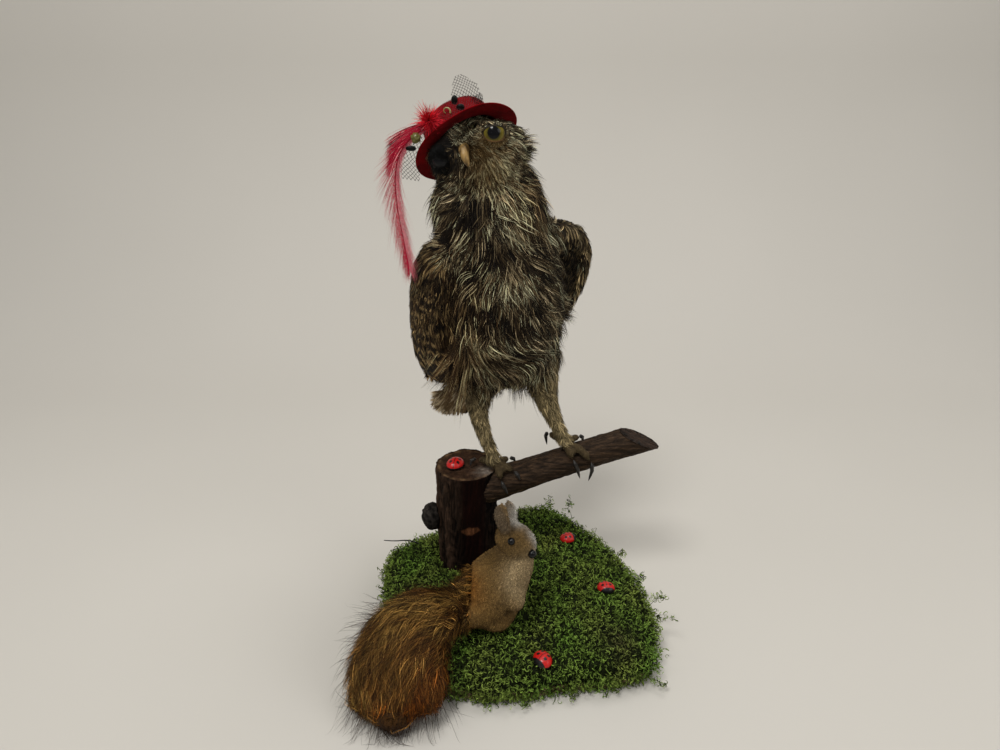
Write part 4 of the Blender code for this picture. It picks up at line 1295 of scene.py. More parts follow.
def make_leg_coat(skin, material):
    """Thin hairy feathering down the legs and sparse bristles on the toes."""
    rng = np.random.default_rng(34)
    for side in ("left", "right"):
        coat = Coat(f"coat_leg_{side}", skin, "leg_feathers", material, f"leg_{side}")
        roots = coat.roots(1.35, rng)
        tone = np.clip(0.85 + 0.35 * rng.normal(size=len(roots)), 0.2, 1.6)[:, None]
        coat.grow(
            roots, varied(rng, 6.5, 0.2, len(roots)), 0.75 * MM, 4, 4, rng,
            KHAKI * tone * 1.3, KHAKI * tone * 0.28, 0.9,
            stray=0.3, fray=0.2, rise=1.5, splay=1.3,
        )
        coat.finish(unwrap_of(skin.points[of_region(skin.owner, coat.region)]))
    for side in ("left", "right"):
        coat = Coat(f"bristles_{side}", skin, "toe", material, f"foot_{side}")
        roots = coat.roots(2.0, rng)
        tone = np.exp(rng.normal(-0.3, 0.45, len(roots)))[:, None]
        coat.grow(
            roots, varied(rng, 3.0, 0.25, len(roots)), 0.3 * MM, 2, 3, rng,
            KHAKI * tone * 0.45, KHAKI * tone * 0.2, 0.9,
            stray=0.5, fray=0.2, rise=7.0, root_shade=0.5, fill=0.35,
        )
        coat.finish(unwrap_of(skin.points[of_region(skin.owner, coat.region)]))


# ---- the owl's eyes, bill and claws --------------------------------------------------------------


def sphere_mesh(name, radius, rings, around, material):
    work = bmesh.new()
    bmesh.ops.create_uvsphere(work, u_segments=around, v_segments=rings, radius=radius)
    mesh = bpy.data.meshes.new(name)
    work.to_mesh(mesh)
    work.free()
    mesh.shade_smooth()
    mesh.materials.append(material)
    return mesh


def turned_to(place, look):
    """A frame at a place whose Z points along look."""
    return Matrix.Translation(Vector(place)) @ Vector(look).to_track_quat("Z", "Y").to_matrix().to_4x4()


def lid_opening(turn, wide, over, under):
    """How far from the eye's axis the lids' edge lies, in degrees: at the corners, over and under."""
    tall = np.where(np.sin(turn) > 0, over, under)
    return 1 / np.sqrt((np.cos(turn) / wide) ** 2 + (np.sin(turn) / tall) ** 2)


def on_ball(turn, polar, size):
    """Places round a ball whose axis is Z, from angles in radians."""
    out = size * np.sin(polar)
    return np.stack([out * np.cos(turn), out * np.sin(turn), size * np.cos(polar)], -1)


def lid_ring(name, frame_here, radius, lids, material, tint):
    """Wrinkled lids round the eye's front, from the ball's surface out to the face."""
    around = 96
    turn = np.linspace(0, 2 * math.pi, around, endpoint=False)
    edge = lid_opening(turn, *lids)
    profile = ((0, 1.010), (2, 1.045), (6, 1.07), (14, 1.08), (24, 1.06), (36, 1.0))
    rows = []
    for row, (beyond, scale) in enumerate(profile):
        polar = np.radians(np.minimum(edge + beyond, 112))
        wrinkle = 1 + 0.006 * np.sin(turn * 23 + row) + 0.004 * np.sin(turn * 41)
        rows.append(on_ball(turn, polar, radius * scale * wrinkle))
    points = np.concatenate(rows)
    triangles = grid_triangles(len(profile), around)
    lower = np.tile(np.clip(-1.4 * np.sin(turn), 0, 1), len(profile))[:, None]
    colours = blend(tint, tint * np.array((6.0, 4.4, 2.2)), lower)
    return mesh_piece(name, under_brow(apply(frame_here, points), 0.3), triangles, material, colours)


def lid_feathers(name, frame_here, radius, lids, material, rng, painted_shade_gain):
    """Very short feathers over the lids, combed away from the eye."""
    many = 900
    turn = rng.uniform(0, 2 * math.pi, many)
    edge = lid_opening(turn, *lids)
    polar = np.radians(edge + 3 + (100 - edge) * rng.random(many) ** 0.8)
    roots = on_ball(turn, polar, radius * 1.05)
    out = unit(roots)
    away = np.stack([np.cos(polar) * np.cos(turn), np.cos(polar) * np.sin(turn), -np.sin(polar)], -1)
    around = np.cross(out, away)
    way = unit(away + around * rng.normal(0.15, 0.45, (many, 1)))
    length = (2.0 + 1.5 * rng.random(many)) * MM
    share = np.linspace(0, 1, 4)[None, :, None]
    lift = out[:, None] * (0.25 * MM + 0.9 * MM * share)
    lines = roots[:, None] + way[:, None] * length[:, None, None] * share + lift
    lines = apply(frame_here, lines.reshape(-1, 3)).reshape(lines.shape)
    normal = np.broadcast_to(turned_only(frame_here, out)[:, None], lines.shape)
    light, dark, amount = tones(lines[:, 0], rng)
    widths = np.full(many, 0.5 * MM)
    points, even, side = vanes(lines, normal, widths, 4, 3, rng, fill=1.3, tip=0.8, fray=0.2)
    points = under_brow(points, 0.8)
    colours = barb_colours(light * painted_shade_gain, dark * painted_shade_gain, side, even, amount, rng, 0.4, 0.3)
    local = np.stack([turn / (2 * math.pi), polar / math.pi], -1) * 0.98 + 0.01
    uv = np.broadcast_to(patches(local, 4, 3), (*points.shape[:3], 2))
    return coat_piece(name, points, per_corner(colours, 3), uv, 3, material)


def make_eyes(plumage):
    """Glass eyes sunk behind feathered lids. The right one sits nearly shut under the brim, with painted
    shade.
    """
    rim = Shader("eye_rim", 0.6, Specular_IOR_Level=0.2)
    rim.mottle(1200, 0.6, 1.3)
    rim.bump(rim.noise(2200, 3), 0.4, 0.0003)
    rng = np.random.default_rng(41)
    # Side, place, which way the eye looks and its lids face, their opening, the pupil's radius, brightness.
    for side, place, look, facing, lids, pupil, painted_shade_gain in (
        ("left", EYES["left"], (0.01, -0.98, 0.17), (0.17, -0.98, 0.12), (66, 32, 37), 3.35, 1.0),
        # Painted shade: the right eye's wide pupil and low brightness darken it, as if in the brim's shadow.
        ("right", EYES["right"], (-0.55, -0.83, -0.05), (-0.40, -0.91, -0.12), (40, 14, 20), 5.6, 0.1),
    ):
        centre = apply(HEAD, np.array([place]) * MM)[0]
        material = eye_material(f"glass_eye_{side}", pupil * MM, 6.1 * MM)
        ball = sphere_mesh(f"eye_{side}_ball", EYE_RADIUS * MM, 40, 64, material)
        eye = bpy.data.objects.new(f"eye_{side}_ball", ball)
        eye.matrix_world = turned_to(centre, look)
        for corner in ball.vertices:
            placed = under_brow(np.array(eye.matrix_world @ corner.co), 0.0)
            corner.co = eye.matrix_world.inverted() @ Vector(placed)
        finish_piece(eye, "eye", f"eye_{side}")
        frame_here = turned_to(centre, facing)
        # Painted shade: the lids and fringe are darkened by the eye's brightness, near black for the right
        # one.
        tint = np.array((0.022, 0.016, 0.010)) * painted_shade_gain**2
        ring = lid_ring(f"eye_{side}_lids", frame_here, EYE_RADIUS * MM, lids, rim.material, tint)
        finish_piece(ring, "feathers")
        fringe = lid_feathers(f"eye_{side}_fringe", frame_here, EYE_RADIUS * MM, lids, plumage, rng, painted_shade_gain)
        finish_piece(fringe, "feathers")


def smoothed_copy(name, node, voxel, share, times, grow, material, slot_name):
    """A solid's own shape with its edges softened."""
    skin = Skin(remeshed(name, [node_shell(node, grow)], voxel))
    skin.relax(share, times)
    skin.write()
    finish_mesh(name, skin.mesh, material, slot_name, node)


def make_bill_and_claws():
    bill = horn_material("bill_horn", (0.050, 0.026, 0.007), (0.30, 0.185, 0.058), 300)
    smoothed_copy("bill_hook", "bill", 0.0004, 0.5, 6, 0.0001, bill, "bill")
    claw = horn_material("claw_horn", (0.006, 0.005, 0.004), (0.018, 0.015, 0.012), 260)
    for side in ("left", "right"):
        for toe in ("inner", "middle", "outer", "hind"):
            node = f"claw_{side}_{toe}"
            smoothed_copy(f"{node}_horn", node, 0.0003, 0.4, 3, 0.00012, claw, "claw")


# ---- the hat and its trimmings -------------------------------------------------------------------

# The long plume's line, and its half width in mm at shares of its length.
PLUME = (
    (-62, 7, 339.5), (-67.5, 5.5, 338), (-73.5, 4, 333), (-78, 2.5, 327), (-80.6, 1, 319),
    (-81.3, -0.5, 308.5), (-80.5, -2, 298), (-79, -3.5, 287), (-77.2, -5, 277), (-76, -6.2, 270),
    (-75, -7, 264.5),
)
PLUME_SHARES = (0, 0.12, 0.35, 0.6, 0.85, 1)
PLUME_HALVES = (2.0, 5.0, 6.8, 5.6, 3.2, 0.6)
TUFT = (-61, 7, 344)
BUD = (-68.6, 4, 335)
# The felt's outline in the hat's own frame, from the crown's middle to the brim's edge and back inside:
# radius and height.
HAT_OUTSIDE = (
    (0, 20), (9, 19.9), (15.8, 19.4), (19.4, 17.9), (20.9, 15.5), (21.5, 9), (22, 3), (24, 1.6),
    (28.3, 1.4), (32.3, 0.55), (33.2, 0.1),
)
HAT_INSIDE = (
    (33.2, -0.3), (32.5, -0.55), (28.3, 0.2), (24, 0.35), (20.8, 1.0), (20.6, 8), (20.6, 15),
    (15, 18.0), (0, 18.6),
)


def rounded(path, times):
    """A path with its corners cut, several times over."""
    path = np.array(path, float)
    for _ in range(times):
        a, b = path[:-1], path[1:]
        inner = np.stack([a * 0.75 + b * 0.25, a * 0.25 + b * 0.75], 1).reshape(-1, path.shape[1])
        path = np.concatenate([path[:1], inner, path[-1:]])
    return path


def grid_of(*axes):
    """A grid of points from its coordinates, each given for the rows, for the columns or for both."""
    return np.stack(np.broadcast_arrays(*axes), -1)


def grid_triangles(rows, columns):
    """Triangles over rings of points, rows of them, each joined to the next."""
    triangles = []
    for r in range(rows - 1):
        for c in range(columns):
            a, b = r * columns + c, r * columns + (c + 1) % columns
            triangles += [(a, b, b + columns), (a, b + columns, a + columns)]
    return np.array(triangles)


def make_hat():
    """A felt hat with a low crown, its brim a little wavy and drooping on the right."""
    around = 160
    outside = rounded(HAT_OUTSIDE, 2)
    inside = rounded(HAT_INSIDE, 2)
    profile = np.concatenate([outside, inside[1:]])
    turn = np.linspace(0, 2 * math.pi, around, endpoint=False)
    radius, height = profile[:, 0][:, None], profile[:, 1][:, None]
    brim = np.clip((radius - 22) / 11, 0, 1)
    right = (turn + math.pi) % (2 * math.pi) - math.pi
    droop = 2.5 * np.exp(-((right - 0.2) / 0.6) ** 2)
    sway = brim * (0.55 * np.sin(2 * turn + 0.6) + 0.25 * np.sin(5 * turn))[None, :]
    sway = sway - brim**1.4 * droop[None, :]
    crown = np.clip(height / 20, 0, 1) * np.clip(radius / 15, 0, 1)
    dent = crown * (0.35 * np.sin(3 * turn + 1.0) + 0.2 * np.sin(7 * turn))[None, :]
    size = radius + dent
    points = grid_of(size * np.cos(turn), size * np.sin(turn), height + sway).reshape(-1, 3) * MM
    triangles = grid_triangles(len(profile), around)
    obj = mesh_piece("hat_felt", apply(HAT, points), triangles, felt_material())
    work = bmesh.new()
    work.from_mesh(obj.data)
    bmesh.ops.remove_doubles(work, verts=work.verts, dist=1e-6)
    bmesh.ops.recalc_face_normals(work, faces=work.faces)
    work.to_mesh(obj.data)
    work.free()
    obj.data.shade_smooth()
    finish_piece(obj, "red_felt", "hat")


def strands(lines, half, colours, name, material, slot_name, low, high, *replaced):
    """Thin tapering strips along many lines, each turned a chance way."""
    steps = lines.shape[1] - 1
    ahead = unit(np.gradient(lines, axis=1))
    rng = np.random.default_rng(len(lines))
    other = unit(rng.normal(size=(len(lines), 1, 3)))
    across = unit(np.cross(ahead, other))
    size = (half * (1 - 0.75 * np.linspace(0, 1, steps + 1)))[None, :, None]
    points = tapered(lines[:, None], (across * size)[:, None])
    shade = np.broadcast_to(colours[:, None, None], points.shape)
    uv = np.broadcast_to(patches(round_unwrap(lines[:, 0], low, high), 1, steps), (*points.shape[:3], 2))
    finish_piece(coat_piece(name, points, shade, uv, steps, material), slot_name, *replaced)


def make_plume(rng, material):
    """The long plume: red barbs along one side of its shaft and pinker ones along the other."""
    barbs, segments = 760, 4
    lines = np.array([rounded(PLUME, 2)]) * MM
    out = np.broadcast_to(np.array((0.35, -1.0, 0.25)), lines.shape)
    ahead = unit(np.gradient(lines, axis=1))
    normal = unit(out - ahead * np.einsum("ijk,ijk->ij", out, ahead)[..., None])
    points, even, place, side = pinnate(
        lines, normal, lambda place: np.interp(place, PLUME_SHARES, PLUME_HALVES) * MM,
        barbs, segments, rng, lean=26, fray=0.14, thick=0.36, ragged=0.045,
    )
    shade = np.exp(rng.normal(0, 0.25, (1, 2 * barbs, 1, 1)))
    red, pink = np.array((0.44, 0.010, 0.036)), np.array((0.58, 0.13, 0.16))
    colour = np.where((side > 0)[None, :, None, None], red, pink)
    far = np.clip(np.tile(place, 2) * 1.3 - 0.2, 0, 1)[None, :, None, None]
    colours = colour * shade * (1 - 0.1 * far * even[:, None] ** 2)
    low, high = lines[0].min(0) - 0.002, lines[0].max(0) + 0.002
    roots = round_unwrap(lines[:, 0], low, high)
    uv = np.broadcast_to(patches(roots, 2 * barbs, segments, 0.3), (*points.shape[:3], 2))
    piece = coat_piece("plume_barbs", points, per_corner(colours, segments), uv, segments, material)
    finish_piece(piece, "red_feather", "hat_plume")
    strip, shaft_colour = shaft_strip(lines, normal, 0.00038, rng, np.array((0.22, 0.004, 0.014)))
    steps = lines.shape[1] - 1
    uv = np.broadcast_to(patches(roots, 1, steps, 0.02), (*strip.shape[:3], 2))
    shaft = coat_piece("plume_barbs_shaft", strip, shaft_colour, uv, steps, material)
    finish_piece(shaft, "red_feather")


def net_mesh(name, threads, roughness, specular, dark, light):
    """Flat threads, each given by its two edges and by where it lies inside the net's outline."""
    points, triangles = [], []
    for left, right, inside in threads:
        start = len(points) * len(left)
        points += [left, right]
        for j in np.flatnonzero(inside[:-1] & inside[1:]):
            a, b = start + j, start + len(left) + j
            triangles += [(a, b, b + 1), (a, b + 1, a + 1)]
    used, index = np.unique(np.array(triangles), return_inverse=True)
    net = Shader(f"{name}_thread", roughness, Specular_IOR_Level=specular)
    net.colour(net.ramp(net.noise(900, 3), (0.3, dark), (0.7, light)))
    return mesh_piece(name, np.concatenate(points)[used], index.reshape(-1, 3), net.material)


def net_piece(name, spine, widths, out, cell, half, ruffle, seed, *replaced):
    """A scrap of black net: two families of fine strands crossing over a crumpled strip."""
    spine = np.array(spine, float) * MM
    out = unit(np.array(out, float))
    rng = np.random.default_rng(seed)
    length = np.linalg.norm(spine[-1] - spine[0])
    across = unit(np.cross(spine[-1] - spine[0], out))
    wide = max(widths) * MM

    def place(u, v):
        where = np.stack([np.interp(v, np.linspace(0, 1, len(spine)), spine[:, k]) for k in range(3)], -1)
        limit = np.interp(v, np.linspace(0, 1, len(widths)), widths) * MM
        inside = np.abs(u) < limit
        wave = ruffle * MM * (np.sin(u / wide * 5 + v * 3) + 0.5 * np.sin(v * 11 + u / wide * 9))
        return where + across * u[..., None] + out * wave[..., None], inside

    threads = []
    many = int((2 * wide + length) / (cell * MM)) + 1
    v = np.linspace(0, 1, 60)
    for family in (-1, 1):
        for k in range(-many, many + 1):
            shift = k * cell * MM + rng.normal(0, 0.05) * MM
            u = shift + family * (v - 0.5) * length * 0.9
            left, _ = place(u - half * MM, v)
            threads.append((left, *place(u + half * MM, v)))
    made = net_mesh(name, threads, 0.7, 0.1, (0.003, 0.003, 0.0035), (0.014, 0.014, 0.015))
    finish_piece(made, "black_net", *replaced)


def crown_net():
    """Fine dark net drawn over the front of the crown, clinging to the felt."""
    threads = []
    share = np.linspace(0, 1, 70)
    for family in (-1, 1):
        for start in np.arange(-2.9, 0.6, 0.078):
            turn = start + family * 0.75 * share
            height = 2.0 + 21.5 * share
            size = np.interp(height, (2, 15.5, 19.4, 24), (22.3, 21.4, 16.5, 11.0)) + 0.35
            level = np.minimum(height, 19.2 + 0.06 * (height - 19.2)) + 0.35
            here = np.stack([size * np.cos(turn), size * np.sin(turn), level], -1) * MM
            inside = (turn > -2.75) & (turn < -0.15)
            along_here = np.gradient(here, axis=0)
            out = unit(here * (1, 1, 0) + (0, 0, 0.006))
            across = unit(np.cross(along_here, out)) * 0.00007
            threads.append((apply(HAT, here - across), apply(HAT, here + across), inside))
    made = net_mesh("crown_net", threads, 0.6, 0.2, (0.012, 0.004, 0.005), (0.10, 0.03, 0.035))
    finish_piece(made, "black_net")


def rings_round(spine, radius, sides, aside):
    """A ring of points round each place of a line: (place, side, 3)."""
    ahead = unit(np.gradient(spine, axis=0))
    side = unit(np.cross(ahead, aside))
    up = np.cross(side, ahead)
    turn = np.linspace(0, 2 * math.pi, sides, endpoint=False)[None, :, None]
    return spine[:, None] + (side[:, None] * np.cos(turn) + up[:, None] * np.sin(turn)) * radius[..., None]


def make_curl():
    """A small gilt tendril on the front of the crown."""
    gilt = gloss_material("gilt_curl", (0.30, 0.27, 0.09), 0.3)
    angle = np.linspace(-0.4, 4.4, 40)
    size = 2.3 - 0.28 * angle
    spine = np.stack([size * np.cos(angle), 0.25 * angle, size * np.sin(angle)], -1) + (-51.5, 12.5, 348.5)
    points = rings_round(spine, 0.55 * (1 - 0.6 * np.linspace(0, 1, 40))[:, None], 12, (0, 1.0, 0))
    curl = mesh_piece("gilt_curl", points.reshape(-1, 3) * MM, grid_triangles(40, 12), gilt)
    finish_piece(curl, "gold_bud")


def bumpy_ball(
    name, centre, radius, bumps, depth, material, slot_name, *replaced, squash=(1, 1, 1), levels=3,
):
    """A ball with round lumps on it, as a bead or a beaded bud."""
    work = bmesh.new()
    bmesh.ops.create_icosphere(work, subdivisions=levels, radius=1.0)
    mesh = bpy.data.meshes.new(name)
    work.to_mesh(mesh)
    work.free()
    skin = Skin(mesh)
    ways = unit(np.random.default_rng(bumps).normal(size=(bumps, 3)))
    close = np.max(skin.points @ ways.T, axis=1)
    lump = np.clip(1 - (1 - close) * bumps * 0.45, 0, 1) ** 0.5
    skin.points *= (radius * (1 - depth + depth * lump))[:, None] * np.array(squash)
    skin.points = skin.points * MM + mm(*centre)
    skin.write()
    finish_mesh(name, mesh, material, slot_name, *replaced)


def make_spray(plumage):
    """Loose barbs that sweep off the plume's root to the left and down, some of them dark at the tip."""
    rng = np.random.default_rng(53)
    share = np.linspace(0, 1, 13)[None, :, None]
    low, high = mm(-90, -4, 306), mm(-60, 14, 346)
    for name, many, begin, half, tone, replaced in (
        ("side_spray", 190, 0.0, 0.00020, (0.46, 0.010, 0.034), ("hat_side_feather",)),
        ("side_spray_pale", 120, 0.0, 0.00014, (0.66, 0.22, 0.24), ()),
        ("side_spray_tips", 80, 0.5, 0.00016, (0.022, 0.006, 0.010), ()),
    ):
        order = np.clip(rng.random(many) + rng.normal(0, 0.04, many), 0, 1)[:, None]
        start = blend(mm(-62, 9, 343), mm(-77, 3.5, 330), order) + rng.normal(0, 0.6 * MM, (many, 3))
        end = blend(mm(-86, 10, 333), mm(-85.5, 1, 312), order) + rng.normal(0, 1.1 * MM, (many, 3))
        bend = start * 0.5 + end * 0.5 + mm(-1.2, -0.5, 2.4) * (0.6 + 0.8 * rng.random((many, 1)))
        part = begin + (1 - begin) * share
        lines = start[:, None] * (1 - part) ** 2 + bend[:, None] * 2 * part * (1 - part)
        lines = lines + end[:, None] * part**2
        colours = np.array(tone) * np.exp(rng.normal(0, 0.3, (many, 1)))
        strands(lines, half, colours, name, plumage, "red_feather", low, high, *replaced)


# The nets: name, spine, half widths down it, which way it faces, cell size, half a thread's width, ruffle
# and seed, and the solid that it stands for.
NETS = (
    ("veil_top_net", ((-38.5, 24, 349), (-41.5, 24, 359.5), (-45.0, 24, 367)), (9.5, 8.5, 2.5),
     (0.2, -1, 0.2), 2.0, 0.14, 0.9, 61, "hat_veil_top"),
    ("veil_fold_net", ((-36.5, 22, 349), (-34, 22, 353.5), (-31.5, 22, 357)), (3.4, 3.2, 1.4),
     (0.2, -1, 0.2), 1.1, 0.14, 0.9, 63),
    ("veil_side_net", ((-69, 16, 336), (-74.5, 14.5, 322), (-73.5, 13, 310)), (3.5, 7, 5.5),
     (0.3, -1, 0.1), 2.3, 0.16, 0.8, 62, "hat_veil_side"),
)
# The sequins: where, how wide, and how each is pressed flat.
SEQUINS = (
    ((-47.0, 18, 354.0), 3.0, (0.65, 0.45, 0.95)),
    ((-43.5, 15, 350.5), 2.6, (0.95, 0.45, 0.75)),
    ((-71.5, 3, 329.5), 3.1, (1.0, 0.35, 0.5)),
)


def make_marabou(rng, plumage):
    """A ball of soft barbs where the plume and the spray meet."""
    many = 800
    way = unit(rng.normal(size=(many, 3)) + np.array((-0.1, -0.5, 0.25)))
    reach = rng.uniform(4.0, 10.5, many)[:, None, None] * MM
    share = np.linspace(0, 1, 6)[None, :, None]
    curl = unit(rng.normal(size=(many, 3)))[:, None] * 0.35 * share**2
    lines = mm(*TUFT) + (way[:, None] * share + curl) * reach
    tone = np.array((0.62, 0.016, 0.030)) * np.exp(rng.normal(0, 0.3, (many, 1)))
    low, high = mm(*TUFT) - 0.008, mm(*TUFT) + 0.008
    strands(lines, 0.00022, tone, "marabou_tuft", plumage, "red_feather", low, high, "hat_tuft")


def make_trimmings(plumage):
    rng = np.random.default_rng(51)
    make_plume(rng, plumage)
    make_spray(plumage)
    make_marabou(rng, plumage)
    bud = gloss_material("bud_gold", (0.13, 0.115, 0.026), 0.45, 0.15, 0.3)
    bumpy_ball("bud_beaded", BUD, 3.2, 46, 0.22, bud, "gold_bud", "hat_bud", levels=4)
    for net in NETS:
        net_piece(*net)
    crown_net()
    sequin = gloss_material("black_sequin", (0.003, 0.0035, 0.003), 0.35, 0.04, 0.12)
    for k, (place, size, squash) in enumerate(SEQUINS):
        bumpy_ball(f"sequin_{k + 1}", place, size, 14, 0.05, sequin, "gold_bud", squash=squash)
    make_curl()


# ---- the stand: stump, branch, knot and board ----------------------------------------------------

STUMP_AT = (-45, 26)
STUMP_RADIUS = 22.5
STUMP_TOP = 106
# The branch's line, with its thickness at each place as a share of its radius, and its sawn end.
BRANCH = (
    (-47, 21, 84, 1.22), (-21, 20.5, 95, 1.16), (3, 20, 104.2, 1.05), (46, 20, 121, 1.0),
    (98, 21, 137.5, 1.0),
)
BRANCH_RADIUS = 10.5
SAWN_AT = (70, 20, 133.5)
SAWN_SLOPE = 24


def sawn_colours(spots):
    """The stump's sawn top: growth rings, a pale rim inside the bark, and dried glue by the foot."""
    radius = np.linalg.norm(spots[:, :2] - np.array(STUMP_AT), axis=-1)
    spots = spots * MM
    rings = 0.85 + 0.2 * np.sin(radius * 5.5 + 1.5 * noise3(spots, 0.02, 76))
    grain = np.exp(0.25 * noise3(spots, 0.006, 77))
    sawn = np.array((0.052, 0.026, 0.014)) * rings[:, None] * grain[:, None]
    rim = np.clip((radius - 18.0) / 1.6, 0, 1)[:, None] * np.clip((21.6 - radius) / 1.2, 0, 1)[:, None]
    rim *= np.clip(0.6 + 0.9 * noise3(spots, 0.007, 80), 0.15, 1)[:, None]
    glue = near(spots, (-31, 17, 106), 4.5)[:, None]
    glue = np.clip(glue * (1 + 0.6 * noise3(spots, 0.006, 79)[:, None]), 0, 1) * 0.8
    return blend(blend(sawn, np.array((0.15, 0.088, 0.045)), rim), np.array((0.24, 0.20, 0.165)), glue)


def make_stump():
    """A barked log, its top sawn across, with a stripped reddish panel and a scar on its front."""
    around, rows = 220, 110
    turn = np.linspace(0, 2 * math.pi, around, endpoint=False)
    height = np.linspace(5, STUMP_TOP, rows)
    c, s = np.cos(turn)[None], np.sin(turn)[None]
    grain = grid_of(c * 22, s * 22, height[:, None] * 0.16).reshape(-1, 3) * MM
    fine = noise3(grain, 0.0040, 71) * 0.5 + noise3(grain, 0.0019, 72) * 0.35
    broad = noise3(grain, 0.016, 73)
    flakes = noise3(grain * (1, 1, 4), 0.006, 74)
    ridge = np.abs(fine) + 0.35 * broad + 0.3 * (flakes > 0.3)
    panel = np.exp(-((turn[None] - math.radians(284)) / 0.42) ** 4)
    panel = panel * np.clip((height[:, None] - 20) / 20, 0, 1)
    panel = np.broadcast_to(panel, (rows, around)).reshape(-1)
    depth = (ridge * 1.6 - 1.1) * (1 - 0.8 * panel) - 0.6 * panel
    size = (STUMP_RADIUS - 0.3 + depth).reshape(rows, around)
    side = grid_of(STUMP_AT[0] + size * c, STUMP_AT[1] + size * s, height[:, None])
    bark = np.array((0.012, 0.0070, 0.0045)) * (0.2 + 1.5 * np.clip(ridge, 0, 1.5))[:, None]
    # Painted light: the bark facing left is up to 4.4 times lighter, as if lit from that side.
    left = np.clip(-np.cos(turn), 0, 1)[None].repeat(rows, 0).reshape(-1, 1)
    bark = bark * (1 + 3.4 * left)
    stripped = np.array((0.009, 0.0022, 0.0012)) * (0.7 + 0.5 * np.clip(fine + 0.5, 0, 1))[:, None]
    colours = blend(bark, stripped, panel[:, None])
    scar_at = (math.radians(278), 63)
    ragged = 1.2 * noise3(grain, 0.006, 78).reshape(rows, around)
    across_scar = ((turn[None] - scar_at[0]) * 22 + 0.4 * ragged) / 7.8
    up_scar = (height[:, None] - scar_at[1] + 0.6 * ragged) / 3.6
    lens = 1 - across_scar**2 - np.abs(up_scar)
    scar = np.clip(lens * 5, 0, 1).reshape(-1, 1)
    scar_tone = np.array((0.125, 0.050, 0.022)) * np.exp(0.5 * noise3(grain * (3, 3, 1), 0.004, 85))[:, None]
    colours = blend(colours, scar_tone, scar)
    top_rings = 46
    share = np.linspace(1, 0, top_rings)[1:, None]
    rim = size[-1] * share
    flat = grid_of(STUMP_AT[0] + rim * c[0], STUMP_AT[1] + rim * s[0], float(STUMP_TOP))
    flat[..., 2] += 0.35 * noise3(flat.reshape(-1, 3) * MM, 0.009, 75).reshape(flat.shape[:2]) - 0.3
    points = np.concatenate([side.reshape(-1, 3), flat.reshape(-1, 3)]) * MM
    triangles = grid_triangles(rows + top_rings - 1, around)
    colours = np.concatenate([colours, sawn_colours(flat.reshape(-1, 3))])
    finish_piece(mesh_piece("stump_log", points, triangles, bark_material("bark"), colours), "bark", "stump")


def make_branch():
    """The perch: a thin barked pole running up from the stump, sawn off at a slant."""
    around, rows = 100, 200
    path = rounded(BRANCH, 3)
    gap = np.concatenate([[0], np.cumsum(np.linalg.norm(np.diff(path[:, :3], axis=0), axis=1))])
    place = np.linspace(0, gap[-1], rows)
    spine = np.stack([np.interp(place, gap, path[:, k]) for k in range(4)], -1)
    turn = np.linspace(0, 2 * math.pi, around, endpoint=False)
    grain = grid_of(place[:, None] * 0.14, np.cos(turn) * 10, np.sin(turn) * 10).reshape(-1, 3) * MM
    fine = noise3(grain, 0.0032, 81) * 0.5 + noise3(grain, 0.0016, 82) * 0.35
    ridge = np.abs(fine) + 0.3 * noise3(grain, 0.012, 83)
    size = (BRANCH_RADIUS * spine[:, 3])[:, None] + (ridge * 0.9 - 0.75).reshape(rows, around)
    points = rings_round(spine[:, :3], size, around, (0, 0, 1.0))
    slope = math.radians(SAWN_SLOPE)
    cut = np.array((math.sin(slope), 0, math.cos(slope)))
    beyond = np.clip((points - np.array(SAWN_AT)) @ cut, 0, None)
    along_branch = unit(np.gradient(spine[:, :3], axis=0))[-1]
    slide = beyond / (along_branch @ cut)
    points = points - slide[..., None] * along_branch
    sawn = (slide > 0.01).reshape(-1)
    colours = np.array((0.0135, 0.0092, 0.0068)) * (0.12 + 1.7 * np.clip(ridge, 0, 1.4) ** 1.4)[:, None]
    # Painted highlight: a pale tone mixed in most strongly in a band at the sawn end's edge, and at half
    # strength over all the bark short of the cut.
    painted_rim_highlight = np.clip(1 - np.abs(slide.reshape(-1) - 0.6) / 1.2, 0, 1)[:, None]
    rings = noise3(points.reshape(-1, 3) * MM, 0.006, 84)
    face = np.array((0.028, 0.014, 0.008)) * np.exp(0.3 * rings)[:, None]
    colours = np.where(sawn[:, None], face, colours)
    colours = colours * (1 - 0.6 * painted_rim_highlight) + np.array((0.13, 0.075, 0.04)) * 0.6 * painted_rim_highlight
    middle = points[-1].mean(0)
    grid = np.concatenate([points.reshape(-1, 3), middle[None]])
    last = (rows - 1) * around
    fan = [(last + k, last + (k + 1) % around, len(grid) - 1) for k in range(around)]
    triangles = np.concatenate([grid_triangles(rows, around), fan])
    colours = np.concatenate([colours, face[-1:]])
    bark = bark_material("branch_bark")
    finish_piece(mesh_piece("branch_pole", grid * MM, triangles, bark, colours), "bark", "branch")


def make_knot():
    """A weathered knot on the stump's side."""
    skin = Skin(remeshed("knot_stub", [node_shell("stump_knot", 0.0016)], 0.0007))
    skin.relax(0.5, 6)
    normals = skin.normals()
    rough = noise3(skin.points, 0.0045, 91) * 0.5 + noise3(skin.points, 0.002, 92) * 0.3
    skin.points += normals * (rough * 0.6 * MM)[:, None]
    skin.write()
    weathering = 1 + 0.6 * noise3(skin.points, 0.004, 93)
    set_tint(skin.mesh, np.array((0.024, 0.020, 0.017)) * weathering[:, None])
    finish_mesh("knot_stub", skin.mesh, bark_material("bark"), "bark", "stump_knot")


# ---- the moss ------------------------------------------------------------------------------------


